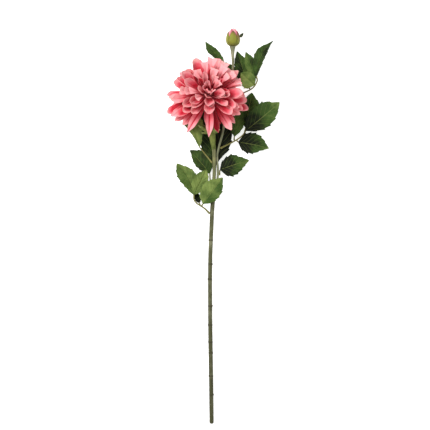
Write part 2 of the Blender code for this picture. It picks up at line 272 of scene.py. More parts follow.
class InputKind(Enum):
    """The kinds of named input that a shaping tree takes."""

    NUMBER = "NodeSocketFloat"
    COUNT = "NodeSocketInt"
    VECTOR = "NodeSocketVector"
    COLLECTION = "NodeSocketCollection"
    MATERIAL = "NodeSocketMaterial"


class Shaper(Graph):
    """A Geometry Nodes tree with named inputs, which turns a carrier mesh into a plain mesh."""

    def __init__(self, name: str, inputs: Mapping[str, InputKind]) -> None:
        """Makes the tree with its inputs.

        Args:
            name: the tree's name.
            inputs: each input's name and kind, in order.
        """
        super().__init__(bpy.data.node_groups.new(name, "GeometryNodeTree"))
        sides = self.tree.interface
        sides.new_socket("Geometry", in_out="OUTPUT", socket_type="NodeSocketGeometry")
        sides.new_socket("Geometry", in_out="INPUT", socket_type="NodeSocketGeometry")
        self.keys = {
            label: sides.new_socket(label, in_out="INPUT", socket_type=kind.value).identifier
            for label, kind in inputs.items()
        }
        self.entry = self.node("NodeGroupInput")

    def given(self, name: str) -> Signal:
        """The value of a named input."""
        return Signal(self, self.entry.outputs[name])

    def first(
        self,
        kind: str,
        settings: Mapping[str, Any] | None = None,
        values: Mapping[Any, Any] | None = None,
    ) -> Signal:
        """Adds a node and gives its first output."""
        return Signal(self, self.node(kind, settings, values).outputs[0])

    def chance(self, low: Any, high: Any, salt: int) -> Signal:
        """A fixed random number for each element.

        Args:
            low: the least.
            high: the most.
            salt: what tells this draw from the others with the same seed.

        Returns:
            The number.
        """
        values = {"Min_001": low, "Max_001": high, "Seed": self.given("Seed") + salt}
        node = self.node("FunctionNodeRandomValue", {"data_type": "FLOAT"}, values)
        return Signal(self, node.outputs[1])

    def vector(self, x: Any, y: Any, z: Any) -> Signal:
        """A vector from three numbers."""
        return self.first("ShaderNodeCombineXYZ", None, {"X": x, "Y": y, "Z": z})

    def stored(self, geometry: Signal, name: str, domain: str, value: Signal) -> Signal:
        """Keeps a number on each element under a name.

        Args:
            geometry: what it is kept on.
            name: the attribute's name.
            domain: POINT or INSTANCE.
            value: the number.

        Returns:
            The geometry.
        """
        settings = {"data_type": "FLOAT", "domain": domain}
        values = {"Geometry": geometry, "Name": name, "Value": value}
        return self.first("GeometryNodeStoreNamedAttribute", settings, values)

    def kept(self, name: str) -> Signal:
        """A number that was kept under a name."""
        return self.first("GeometryNodeInputNamedAttribute", {"data_type": "FLOAT"}, {"Name": name})

    def end(self, geometry: Signal) -> None:
        """Closes the tree: every copy made real, then the material.

        Args:
            geometry: what the tree has made.
        """
        real = self.first("GeometryNodeRealizeInstances", None, {"Geometry": geometry})
        values = {"Geometry": real, "Material": self.given("Material")}
        done = self.first("GeometryNodeSetMaterial", None, values)
        self.node("NodeGroupOutput", None, {"Geometry": done})

    def run(self, name: str, carrier: bpy.types.Mesh, values: Mapping[str, Any]) -> bpy.types.Mesh:
        """Runs the tree on a mesh.

        Args:
            name: the name of the mesh that it makes.
            carrier: the mesh that goes in.
            values: the values of its named inputs. Those that are left out are zero.

        Returns:
            The plain mesh that comes out.
        """
        item = bpy.data.objects.new(name + ".carrier", carrier)
        bpy.context.scene.collection.objects.link(item)
        modifier = item.modifiers.new("shaper", "NODES")
        modifier.node_group = self.tree
        for label, value in values.items():
            modifier[self.keys[label]] = value
        graph = bpy.context.evaluated_depsgraph_get()
        made = bpy.data.meshes.new_from_object(
            item.evaluated_get(graph), preserve_all_data_layers=True, depsgraph=graph
        )
        made.name = name
        item.modifiers.remove(modifier)
        bpy.data.objects.remove(item)
        return made


@dataclass(frozen=True)
class Pose:
    """How a ring of blades stands: its foot, its lean about X and the height it lies down from.

    What would be lower than the lay height is eased up, so that it rests on the floor. A lay
    height below the whole ring leaves the ring as it is.
    """

    foot: Point = (0.0, 0.0, 0.0)
    lean: float = 0.0
    lay: float = -1.0

    def inputs(self) -> dict[str, Any]:
        """The pose as inputs of the blade ring."""
        return {"Foot": self.foot, "Lean": (self.lean, 0.0, 0.0), "Lay Height": self.lay}


class BladeRing(Shaper):
    """Blades set in a ring about an axis, each with a small tilt, roll, size and tint of its own.

    The blades are taken from their collection in order, over and over. Angles are in radians, but
    the turn and the spacing spread are in spacings.
    """

    NUMBERS = (
        "Turn", "Ring Radius", "Seat Height", "Gap Start", "Gap End", "Tint Lift", "Lay Height",
        "Spacing Spread", "Tilt Spread", "Roll Spread", "Size Spread",
    )

    def __init__(self) -> None:
        """Builds the tree."""
        kinds = {"Blades": InputKind.COLLECTION, "Material": InputKind.MATERIAL}
        kinds |= dict.fromkeys(("Count", "Seed"), InputKind.COUNT)
        kinds |= dict.fromkeys(self.NUMBERS, InputKind.NUMBER)
        kinds |= dict.fromkeys(("Foot", "Lean"), InputKind.VECTOR)
        super().__init__("blade ring", kinds)
        blades = self._blades(self._places())
        joined = self.node("GeometryNodeJoinGeometry")
        for piece in (self.given("Geometry"), blades):
            self.tree.links.new(piece.socket, joined.inputs[0])
        turned = self.first("FunctionNodeEulerToRotation", None, {"Euler": self.given("Lean")})
        values = {"Geometry": Signal(self, joined.outputs[0]), "Translation": self.given("Foot")}
        values["Rotation"] = turned
        self.end(self._rested(self.first("GeometryNodeTransform", None, values)))

    def _rested(self, blades: Signal) -> Signal:
        """Bends what would sink into the floor up, so that the lowest blades lie on it.

        Args:
            blades: the whole ring in its pose.

        Returns:
            The ring, all of it above the floor.
        """
        blades = self.first("GeometryNodeRealizeInstances", None, {"Geometry": blades})
        height = self.axes(self.first("GeometryNodeInputPosition"))[2]
        lay = self.given("Lay Height")
        eased_height = self.math("EXPONENT", height / lay - 1) * lay
        rise = (eased_height - height) * (height < lay)
        values = {"Geometry": blades, "Offset": self.vector(0.0, 0.0, rise)}
        return self.first("GeometryNodeSetPosition", None, values)

    def _places(self) -> Signal:
        """Makes a point for each blade, with its azimuth, and leaves the gap empty.

        Returns:
            The points.
        """
        index = self.first("GeometryNodeInputIndex")
        spread = self.given("Spacing Spread")
        step = self.chance(0 - spread, spread, 1) + index + self.given("Turn")
        azimuth = (step * (2 * pi) / self.given("Count")) % (2 * pi)
        points = self.first("GeometryNodePoints", None, {"Count": self.given("Count")})
        points = self.stored(points, "azimuth", "POINT", azimuth)
        points = self.stored(points, "order", "POINT", index)
        kept = self.kept("azimuth")
        inside = (kept > self.given("Gap Start")) * (kept < self.given("Gap End"))
        values = {"Geometry": points, "Selection": inside}
        return self.first("GeometryNodeDeleteGeometry", {"domain": "POINT"}, values)

    def _blades(self, points: Signal) -> Signal:
        """Sets a blade at each point, turned to its azimuth.

        Args:
            points: the ring of points.

        Returns:
            The blades as instances, each with its tint.
        """
        azimuth = self.kept("azimuth")
        radius = self.given("Ring Radius")
        height = self.given("Seat Height")
        place = self.vector(azimuth.sine() * radius, azimuth.cosine() * radius, height)
        values = {"Geometry": points, "Position": place}
        points = self.first("GeometryNodeSetPosition", None, values)
        tilt, roll, size = (self.given(f"{part} Spread") for part in ("Tilt", "Roll", "Size"))
        leans = self.chance(0 - tilt, tilt, 2), self.chance(0 - roll, roll, 3)
        euler = self.vector(*leans, 0 - azimuth)
        rotation = self.first("FunctionNodeEulerToRotation", None, {"Euler": euler})
        kinds = {"Collection": self.given("Blades"), "Separate Children": True}
        kinds["Reset Children"] = True
        values = {
            "Points": points,
            "Instance": self.first("GeometryNodeCollectionInfo", None, kinds),
            "Pick Instance": True,
            "Instance Index": self.kept("order"),
            "Rotation": rotation,
            "Scale": self.chance(1 - size, 1 + size, 5),
        }
        blades = self.first("GeometryNodeInstanceOnPoints", None, values)
        tint = self.chance(0.0, 1.0, 6) + self.given("Tint Lift")
        return self.stored(blades, "tint", "INSTANCE", tint)

    def set_blades(
        self,
        name: str,
        blades: Sequence[bpy.types.Mesh],
        carrier: bpy.types.Mesh,
        pose: Pose,
        values: Mapping[str, Any],
    ) -> bpy.types.Mesh:
        """Sets blades in a ring and joins them to a carrier.

        Args:
            name: the name of the mesh that it makes.
            blades: the meshes that the ring takes in order.
            carrier: what they are joined to.
            pose: how the whole stands.
            values: the tree's other inputs. Those that are left out are zero.

        Returns:
            The carrier and the blades as one mesh.
        """
        group = bpy.data.collections.new(name)
        items = [bpy.data.objects.new(blade.name, blade) for blade in blades]
        for item in items:
            group.objects.link(item)
        made = self.run(name, carrier, {"Blades": group, **values, **pose.inputs()})
        for item in items:
            bpy.data.objects.remove(item)
        bpy.data.collections.remove(group)
        return made


class Rod(Shaper):
    """A round rod along a path, with ribs, knots and a grained skin.

    The carrier is a line of points that keep "thickness", its radius there, "knot", the share of
    the knots' rise, and "scar", the side that a knot stands out to. A knot rises by its level all
    round, and by its lean more at its scar and less behind it.
    """

    NUMBERS = ("Rib Count", "Rib Height", "Knot Rise", "Grain Height", "Grain Scale")
    KNOT_LEVEL = 0.62
    KNOT_LEAN = 0.55

    def __init__(self) -> None:
        """Builds the tree."""
        kinds = {"Sides": InputKind.COUNT, "Material": InputKind.MATERIAL}
        super().__init__("rod", kinds | dict.fromkeys(self.NUMBERS, InputKind.NUMBER))
        line = self.first("GeometryNodeMeshToCurve", None, {"Mesh": self.given("Geometry")})
        circle = {"Resolution": self.given("Sides"), "Radius": 1.0}
        outline = self.first("GeometryNodeCurvePrimitiveCircle", None, circle)
        share = self.first("GeometryNodeSplineParameter")
        outline = self.stored(outline, "around", "POINT", share)
        values = {"Curve": line, "Profile Curve": outline, "Scale": self.kept("thickness")}
        skin = self.first("GeometryNodeCurveToMesh", None, values | {"Fill Caps": True})
        self.end(self._grained(skin))

    def _grained(self, skin: Signal) -> Signal:
        """Raises the ribs, the knots and the grain along the skin's normals.

        Args:
            skin: the plain tube.

        Returns:
            The tube with its relief.
        """
        around = self.kept("around") * (2 * pi)
        ribs = (around * self.given("Rib Count")).cosine() * self.given("Rib Height")
        side = self.KNOT_LEVEL + (around - self.kept("scar")).cosine() * self.KNOT_LEAN
        knots = self.kept("knot") * side * self.given("Knot Rise")
        place = self.first("GeometryNodeInputPosition")
        grain = self.noise(place, self.given("Grain Scale"), 3.0)
        height = ribs + knots + (grain - 0.5) * self.given("Grain Height")
        normal = self.first("GeometryNodeInputNormal")
        values = {"Vector": normal, "Scale": height}
        offset = self.first("ShaderNodeVectorMath", {"operation": "SCALE"}, values)
        return self.first("GeometryNodeSetPosition", None, {"Geometry": skin, "Offset": offset})


# ------ Finishes ------


class Surface(Graph):
    """A material's tree, with the coordinates that its patterns follow."""

    def __init__(self, name: str, fixed: Mapping[str, Any]) -> None:
        """Makes the material.

        Args:
            name: the material's name.
            fixed: the values that are the same all over, by the shader's socket.
        """
        self.material = bpy.data.materials.new(name)
        self.material.use_nodes = True
        super().__init__(self.material.node_tree)
        self.shader = self.tree.nodes["Principled BSDF"]
        for key, value in fixed.items():
            self.shader.inputs[key].default_value = value

    def place(self, stretch: Point = (1.0, 1.0, 1.0)) -> Signal:
        """The point on the object, in metres, stretched along the axes."""
        spot = self.node("ShaderNodeTexCoord")
        values = {"Vector": Signal(self, spot.outputs["Object"]), "Scale": stretch}
        return Signal(self, self.node("ShaderNodeMapping", None, values).outputs["Vector"])

    def spread(self) -> tuple[Signal, ...]:
        """The share across a blade and along it, from its own map."""
        node = self.node("ShaderNodeUVMap", {"uv_map": UV})
        return self.axes(Signal(self, node.outputs["UV"]))[:2]

    def kept(self, name: str) -> Signal:
        """A number that the mesh keeps under a name."""
        node = self.node("ShaderNodeAttribute", {"attribute_name": name})
        return Signal(self, node.outputs["Fac"])

    def weave(self, pitch: float) -> Signal:
        """The relief of woven cloth.

        Args:
            pitch: the distance between threads in metres.

        Returns:
            A height between about minus one and one.
        """
        x, y, _ = self.axes(self.place())
        return (x * (2 * pi / pitch)).sine() * (y * (2 * pi / pitch)).sine()

    def dress(
        self, base: Signal, roughness: Signal, height: Signal, depth: float
    ) -> bpy.types.Material:
        """Links the pattern to the shader.

        Args:
            base: the colour.
            roughness: the roughness.
            height: the relief, about one high.
            depth: what a height of one is in metres.

        Returns:
            The finished material.
        """
        values = {"Height": height, "Distance": depth, "Strength": 1.0}
        bump = self.node("ShaderNodeBump", None, values)
        links = self.tree.links
        links.new(base.socket, self.shader.inputs["Base Color"])
        links.new(roughness.socket, self.shader.inputs["Roughness"])
        links.new(bump.outputs["Normal"], self.shader.inputs["Normal"])
        return self.material


@dataclass(frozen=True)
class PetalFinish:
    """Pressed petal cloth: crimson at the root, coral on the blade, pale at the tip and edge."""

    name: str = "petal cloth"
    root: Colour = colour("9E061E")
    heart: Colour = colour("C20E2C")
    blade: Colour = colour("E1606E")
    tip: Colour = colour("F7A7AB")
    edge: Colour = colour("F8C4AE")
    back: Colour = colour("EC7C84")
    veins: int = 13
    thread: float = 0.0004
    relief: float = 0.00018

    def material(self) -> bpy.types.Material:
        """Builds the material.

        Returns:
            The material, with its pattern.
        """
        fixed = {"Sheen Weight": 0.12, "Sheen Roughness": 0.5, "Specular IOR Level": 0.3}
        surface = Surface(self.name, fixed)
        across, along = surface.spread()
        tint = surface.kept("tint")
        margin = abs(across * 2 - 1)
        patch = surface.noise(surface.place(), 150, 2)
        # Random drift in tone, plus the tint. Its whorl lift paints the inner whorls paler than the
        # lower ones: painted light by depth in the bloom.
        drift_and_depth_light = (patch - 0.5) * 0.16 + (tint - 1.5) * 0.16
        kind = surface.kept("shade")  # the tone of the petal's Ending
        # Open petals stay crimson further out towards their margins. That is partly the crimson of
        # their rolled inner sides and partly painted shade where they lie under their neighbours.
        # Long petals are darkened down the middle: painted shade in their crease.
        open_reach = along - 0.02 - margin ** 1.2 * 0.42 * along.step(1.0, 0.72)
        long_reach = along * 0.55 + 0.40 - margin.step(0.30, 0.0) * 0.24
        cupped_reach = along * 0.90 - 0.22 + margin ** 2 * 0.20 + along.step(0.82, 1.0) * 0.20
        reach = open_reach + (cupped_reach - open_reach) * kind.step(0.0, 1.0)
        reach = reach + (long_reach - open_reach) * kind.step(0.0, -1.0) + drift_and_depth_light
        # Petals of tone two are darkened: painted shade for the recessed petals in the gaps.
        reach = reach - kind.step(1.0, 2.0) * 0.45
        wander = surface.noise(surface.place(), 90, 1)
        lines = ((across + (wander - 0.5) * 0.03) * (2 * pi * self.veins)).sine() * 0.5 + 0.5
        lines = lines ** 3
        # The middle groove: pressed in by the bump, and darkened towards crimson as painted shade
        # in the crease.
        crease = across.band(0.5, 0.06) * along.step(0.98, 0.5)
        rim = margin.step(0.90, 1.0) * along.step(0.45, 0.85) * patch.step(0.3, 0.6)
        ends = along.step(0.90, 1.0) * (tint % 0.25).step(0.02, 0.20)
        base = surface.laid(
            self.root,
            (reach.step(0.16, 0.40), self.heart),
            (reach.step(0.38, 0.60), self.blade),
            (reach.step(0.54, 0.80), self.tip),
            (lines * along.step(1.0, 0.3) * 0.30, self.heart),
            (crease * 0.55, self.heart),
            (surface.kept("side") * along.step(0.1, 0.6) * 0.7, self.back),
            (surface.math("MAXIMUM", rim * 0.20, ends * 0.38), self.edge),
        )
        roughness = 0.62 + (patch - 0.5) * 0.2
        height = lines * -0.6 - crease + surface.weave(self.thread) * 0.25
        return surface.dress(base, roughness, height, self.relief)


VEIN_PAIRS = 7
VEIN_RAKE = 0.34


@dataclass(frozen=True)
class LeafFinish:
    """Pressed leaf cloth with a pale midrib and side veins, and a greyer back."""

    name: str = "leaf cloth"
    deep: Colour = colour("0C1404")
    mid: Colour = colour("3C5620")
    light: Colour = colour("83954E")
    vein: Colour = colour("8E9A56")
    back: Colour = colour("586A3C")
    thread: float = 0.0005
    relief: float = 0.00035

    def material(self) -> bpy.types.Material:
        """Builds the material.

        Returns:
            The material, with its pattern.
        """
        surface = Surface(self.name, {"Specular IOR Level": 0.14})
        across, along = surface.spread()
        margin = abs(across * 2 - 1)
        patch = surface.noise(surface.place(), 60, 3)
        # The kept shade is each leaf's tone with its painted light and shade. It covers the leaves
        # lying in shadow, the lit and shaded halves and the lighter tips.
        level = surface.kept("shade") * 1.35 + (patch - 0.5) * 1.5 + 0.26
        phase = ((along - margin * VEIN_RAKE) * VEIN_PAIRS) % 1.0
        ribs = phase.band(0.5, 0.09) * margin.step(1.0, 0.7) * along.step(0.98, 0.85)
        fine = surface.noise(surface.place(), 900, 2).step(0.45, 0.75)
        midrib = across.band(0.5, 0.026) * along.step(1.0, 0.8)
        base = surface.laid(
            self.deep,
            (level.step(0.0, 0.8), self.mid),
            (level.step(0.7, 1.8), self.light),
            (ribs * 0.26, self.vein),
            (midrib * 0.55, self.vein),
            (fine * 0.15, self.deep),
            (surface.kept("side") * 0.55, self.back),
        )
        roughness = 0.46 + patch * 0.2
        height = 0 - ribs - midrib * 1.4 + fine * 0.25 + surface.weave(self.thread) * 0.15
        return surface.dress(base, roughness, height, self.relief)


@dataclass(frozen=True)
class BarkFinish:
    """The coated skin of a stem or a wire: long streaks, fine grain and marked knots.

    With an ageing, it darkens to the aged colour between the two ends of its reach along +Y.
    """

    name: str
    dark: Colour
    base: Colour
    light: Colour
    knot: Colour
    streak: float = 24.0
    contrast: float = 1.0
    depth: float = 0.0003
    aged: Colour = (0.0, 0.0, 0.0, 1.0)
    ageing: float = 0.0
    ageing_reach: tuple[float, float] = (0.02, -0.33)

    def material(self) -> bpy.types.Material:
        """Builds the material.

        Returns:
            The material, with its pattern.
        """
        surface = Surface(self.name, {"Specular IOR Level": 0.3})
        streaks = surface.noise(surface.place((900, self.streak, 900)), 1, 3)
        grain = surface.noise(surface.place(), 1400, 2)
        patch = surface.noise(surface.place(), 55, 2)
        base = surface.laid(
            self.dark,
            (streaks.step(0.25, 0.6), self.base),
            (patch.step(0.45, 0.75) * self.contrast, self.light),
            (grain.step(0.55, 0.8) * 0.35 * self.contrast, self.dark),
        )
        if self.ageing:
            reach = surface.axes(surface.place())[1].step(*self.ageing_reach)
            base = surface.mix(reach * self.ageing, base, self.aged)
        base = surface.mix(surface.kept("knot").step(0.15, 0.8) * 0.8, base, self.knot)
        roughness = 0.58 + grain * 0.24
        return surface.dress(base, roughness, streaks + grain * 0.5, self.depth)


@dataclass(frozen=True)
class SepalFinish:
    """Green sepal cloth, pale at its root, with a blush towards one side.

    The blush starts and ends at distances along +X and +Y together. As they stand here, they lie
    far past the object, so a sepal has none.
    """

    name: str
    root: Colour
    blade: Colour
    tip: Colour
    blush: Colour
    blush_start: float = 9.0
    blush_end: float = 10.0
    mottle: float = 0.3
    veins: int = 7
    relief: float = 0.00016

    def material(self) -> bpy.types.Material:
        """Builds the material.

        Returns:
            The material, with its pattern.
        """
        surface = Surface(self.name, {"Specular IOR Level": 0.35, "Sheen Weight": 0.1})
        across, along = surface.spread()
        patch = surface.noise(surface.place(), 240, 3)
        lines = (across * (2 * pi * self.veins)).sine() * 0.5 + 0.5
        blotch = surface.noise(surface.place((1, 0.45, 1)), 420, 2).step(0.5, 0.68)
        x, y, _ = surface.axes(surface.place())
        reach = x * 0.7 + y * 0.7
        margin = abs(across * 2 - 1)
        base = surface.laid(
            self.root,
            (along.step(0.0, 0.2), self.blade),
            (along.step(0.7, 1.0), self.tip),
            (lines * 0.22, self.root),
            (blotch * self.mottle, self.root),
            (reach.step(self.blush_start, self.blush_end) * 0.75, self.blush),
            # The margins take some of the tip colour. Where that is dark, as on the bud, it is
            # painted shade along the overlapping edges.
            (margin.step(0.8, 1.0) * 0.35, self.tip),
        )
        roughness = 0.5 + patch * 0.2
        return surface.dress(base, roughness, lines + patch, self.relief)


@dataclass(frozen=True)
class FloorFinish:
    """A matt pale floor with a faint mottle, lit a little from below like a light table."""

    name: str = "pale floor"
    low: Colour = (0.86, 0.86, 0.86, 1.0)
    high: Colour = (0.90, 0.90, 0.90, 1.0)
    glow: float = 0.70
    relief: float = 0.0001

    def material(self) -> bpy.types.Material:
        """Builds the material.

        Returns:
            The material, with its pattern.
        """
        fixed = {"Specular IOR Level": 0.1, "Emission Color": (1, 1, 1, 1)}
        surface = Surface(self.name, fixed | {"Emission Strength": self.glow})
        patch = surface.noise(surface.place(), 3, 2)
        base = surface.mix(patch, self.low, self.high)
        return surface.dress(base, 0.9 + patch * 0.05, patch, self.relief)


# ------ Meshes ------


def keep_numbers(mesh: bpy.types.Mesh, name: str, numbers: Sequence[float]) -> None:
    """Keeps one number for each vertex under a name.

    Args:
        mesh: the mesh.
        name: the attribute's name.
        numbers: one for each vertex.
    """
    mesh.attributes.new(name, "FLOAT", "POINT").data.foreach_set("value", np.float32(numbers))


def sheet_mesh(name: str, grid: np.ndarray, thickness: float, shade: Any = 0.0) -> bpy.types.Mesh:
    """Makes a thin closed sheet about a grid of points.

    Args:
        name: the mesh's name.
        grid: the points of its middle, as rows along it, columns across it, and x, y, z. Across
            times along gives the side that faces out.
        thickness: the sheet's.
        shade: how light this sheet is, kept for its finish, as one number or one for each point. A
            leaf's carries its painted light and shade, a petal's the tone of its ending.

    Returns:
        The mesh, with a map of the shares across and along, and "side": zero on the front.
    """
    rows, columns = grid.shape[:2]
    normal = np.cross(np.gradient(grid, axis=1), np.gradient(grid, axis=0))
    normal /= np.maximum(np.linalg.norm(normal, axis=2, keepdims=True), 1e-12)
    count = rows * columns
    spots = np.concatenate([grid + normal * thickness / 2, grid - normal * thickness / 2])
    index = np.arange(count).reshape(rows, columns)
    corners = (index[:-1, :-1], index[:-1, 1:], index[1:, 1:], index[1:, :-1])
    front = np.stack(corners, axis=-1).reshape(-1, 4)
    rim = np.concatenate([index[0, :-1], index[:-1, -1], index[-1, :0:-1], index[:0:-1, 0]])
    after = np.roll(rim, -1)
    wall = np.stack([after, rim, rim + count, after + count], axis=-1)
    faces = np.concatenate([front, front[:, ::-1] + count, wall])
    mesh = bpy.data.meshes.new(name)
    mesh.from_pydata(spots.reshape(-1, 3).tolist(), [], faces.tolist())
    across, along = np.meshgrid(np.linspace(0, 1, columns), np.linspace(0, 1, rows))
    shares = np.tile(np.stack([across, along], axis=-1).reshape(-1, 2), (2, 1))
    layer = mesh.uv_layers.new(name=UV)
    layer.data.foreach_set("uv", shares[faces.reshape(-1)].astype(np.float32).reshape(-1))
    keep_numbers(mesh, "side", np.repeat([0.0, 1.0], count))
    keep_numbers(mesh, "shade", np.tile(np.broadcast_to(shade, (rows, columns)).reshape(-1), 2))
    return mesh


def turned_mesh(name: str, outline: Sequence[tuple[float, float]], sides: int) -> bpy.types.Mesh:
    """Makes a closed solid turned about Z.

    Args:
        name: the mesh's name.
        outline: (radius, height) pairs from the bottom up, without the two ends on the axis.
        sides: how many faces go round.

    Returns:
        The mesh.
    """
    turns = np.arange(sides) * 2 * pi / sides
    radius, height = (np.array(values)[:, None] for values in zip(*outline))
    around = np.stack([radius * np.cos(turns), radius * np.sin(turns), height + 0 * turns], axis=-1)
    ends = [[0, 0, outline[0][1]], [0, 0, outline[-1][1]]]
    spots = np.concatenate([around.reshape(-1, 3), ends])
    last = len(outline) * sides
    faces = []
    for side in range(sides):
        after = (side + 1) % sides
        faces.append((last, after, side))
        faces.append((last + 1, last - sides + side, last - sides + after))
        for row in range(len(outline) - 1):
            low, high = row * sides, (row + 1) * sides
            faces.append((low + side, low + after, high + after, high + side))
    mesh = bpy.data.meshes.new(name)
    mesh.from_pydata(spots.tolist(), [], faces)
    return mesh


def line_mesh(name: str, path: np.ndarray, numbers: Mapping[str, np.ndarray]) -> bpy.types.Mesh:
    """Makes a line of points that keep numbers, for a rod to follow.

    Args:
        name: the mesh's name.
        path: the points, one a row.
        numbers: the numbers by name, one a point.

    Returns:
        The mesh of edges.
    """
    mesh = bpy.data.meshes.new(name)
    mesh.from_pydata(path.tolist(), [(i, i + 1) for i in range(len(path) - 1)], [])
    for key, values in numbers.items():
        keep_numbers(mesh, key, values)
    return mesh


def smooth_path(points: Sequence[Point], spacing: float) -> np.ndarray:
    """Reads a smooth curve through points at even steps.

    Args:
        points: the points that it passes.
        spacing: the distance between its steps.

    Returns:
        The steps, one a row.
    """
    spots = np.array(points, float)
    ends = np.concatenate([[2 * spots[0] - spots[1]], spots, [2 * spots[-1] - spots[-2]]])
    run = []
    share = np.linspace(0, 1, 16, endpoint=False)[:, None]
    for before, start, end, after in zip(ends, ends[1:], ends[2:], ends[3:]):
        run.append(
            start
            + 0.5 * share * (end - before)
            + share**2 * (before - 2.5 * start + 2 * end - 0.5 * after)
            + share**3 * (1.5 * (start - end) + 0.5 * (after - before))
        )
    fine = np.concatenate([*run, [spots[-1]]])
    reach = np.concatenate([[0], np.cumsum(np.linalg.norm(np.diff(fine, axis=0), axis=1))])
    steps = np.linspace(0, reach[-1], max(4, round(reach[-1] / spacing)) + 1)
    return np.stack([np.interp(steps, reach, fine[:, axis]) for axis in range(3)], axis=1)


def place_piece(
    mesh: bpy.types.Mesh, node: str, slot: str, finish: bpy.types.Material | None = None
) -> None:
    """Stands a finished mesh in for a node of the part.

    Args:
        mesh: the mesh, in the part's frame.
        node: the node that it stands for.
        slot: the slot of the record that its finish belongs to.
        finish: its material, or none for a mesh that has it already.
    """
    if finish:
        mesh.materials.append(finish)
    mesh.shade_smooth()
    mesh.set_sharp_from_angle(angle=SHARP)
    piece = bpy.data.objects.new(f"{node}.finish", mesh)
    bpy.context.scene.collection.objects.link(piece)
    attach(piece, BODY)
    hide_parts(node)
    LOG.info("%s: %d faces, slot %s", node, len(mesh.polygons), slot)


def place_rod(
    rod: Rod,
    node: str,
    slot: str,
    path: np.ndarray,
    radii: np.ndarray,
    values: Mapping[str, Any],
    marks: Mapping[str, np.ndarray] | None = None,
) -> None:
    """Runs a rod along a path and stands it in for a node of the part.

    Args:
        rod: the tree that makes it.
        node: the node that it stands for.
        slot: the slot of the record that its finish belongs to.
        path: the points that it follows, one a row.
        radii: its radius at each point.
        values: the rod's named inputs. Those that are left out are zero.
        marks: the "knot" and the "scar" at each point, or none for a plain rod.
    """
    still = np.zeros(len(path))
    numbers = {"thickness": radii, "knot": still, "scar": still} | dict(marks or {})
    place_piece(rod.run(node, line_mesh(node, path, numbers), values), node, slot)


# ------ The bloom ------


@dataclass(frozen=True)
class Ending:
    """How a petal opens out and ends.

    The flare is the power that its width grows with, the notch and the round set the middle or
    the corners of its end back as shares of its length, the curl is its last bend outwards in
    degrees, the two cups multiply the whorl's cup at the middle and at the end, the fold runs from
    zero, a round section, to one, a sharp crease down the middle. The breadth is a share of the
    whorl's width. A funnel widens in straight lines from its root, and the tone is the
    petal's pattern: long and pale at minus one, open at nought, cupped at one, and at two darkened
    with painted shade, for the recessed petals that stand in for the shade in the gaps.
    """

    widest_at: float
    end_width: float
    flare: float
    notch: float
    round: float
    curl: float
    middle_cup: float
    end_cup: float
    fold: float
    breadth: float
    funnel: bool
    tone: float


class Tip(Enum):
    """The shapes of petal that the whorls mix, each under the letter of its row of petals."""

    FAN = Ending(0.98, 0.96, 2.3, 0.028, 0.000, 12.0, 1.45, 0.50, 0.75, 1.00, True, 0.0)
    HORN = Ending(0.96, 0.90, 2.4, 0.008, 0.016, 2.0, 1.55, 0.72, 0.45, 0.90, True, 0.0)
    SPOON = Ending(0.78, 0.55, 1.5, 0.000, 0.050, -25.0, 1.15, 1.25, 0.05, 1.00, False, 1.0)
    BLADE = Ending(0.74, 0.40, 1.2, 0.000, 0.090, -9.0, 1.25, 0.95, 0.55, 0.88, False, -0.5)
    POINT = Ending(0.58, 0.08, 0.8, 0.000, 0.160, 8.0, 1.15, 0.90, 0.60, 0.80, False, -1.0)
    # Recessed petals darkened to stand in for the shade in the gaps between the pale ones: painted
    # shade.
    DARK = Ending(0.70, 0.30, 1.2, 0.000, 0.100, -6.0, 1.25, 0.95, 0.55, 0.84, False, 2.0)

    @classmethod
    def of(cls, letter: str) -> Ending:
        """The ending whose name starts with a letter."""
        return next(tip.value for tip in cls if tip.name.startswith(letter))


@dataclass(frozen=True)
class Whorl:
    """One ring of petals on the bloom's axis.

    The angle is from the axis, the cup is half the angle of the blade's section, the bend is
    outwards along the blade, all in degrees. The turn is in spacings, and the gap gives the
    azimuths that are left out, in degrees. The letters give each petal's ending in turn, and the
    sizes those petals that are longer or shorter, by their place. The droop tips the petals at
    the foot of the bloom outwards and those at its head inwards, in degrees. The spread is how
    unevenly they stand, as a share of what is usual, and the lift how much paler they are than
    the lowest ones, in tints: painted light that grows towards the heart, against the shade deep
    in the bloom, so that the lower whorls are painted darker.
    """

    name: str
    angle: float
    length: float
    count: int
    turn: float
    seat: float
    width: float
    cup: float
    bend: float
    petals: str
    gap: tuple[float, float] = (0.0, 0.0)
    sizes: Mapping[int, float] = field(default_factory=dict)
    droop: float = 0.0
    spread: float = 1.0
    lift: float = 0.0


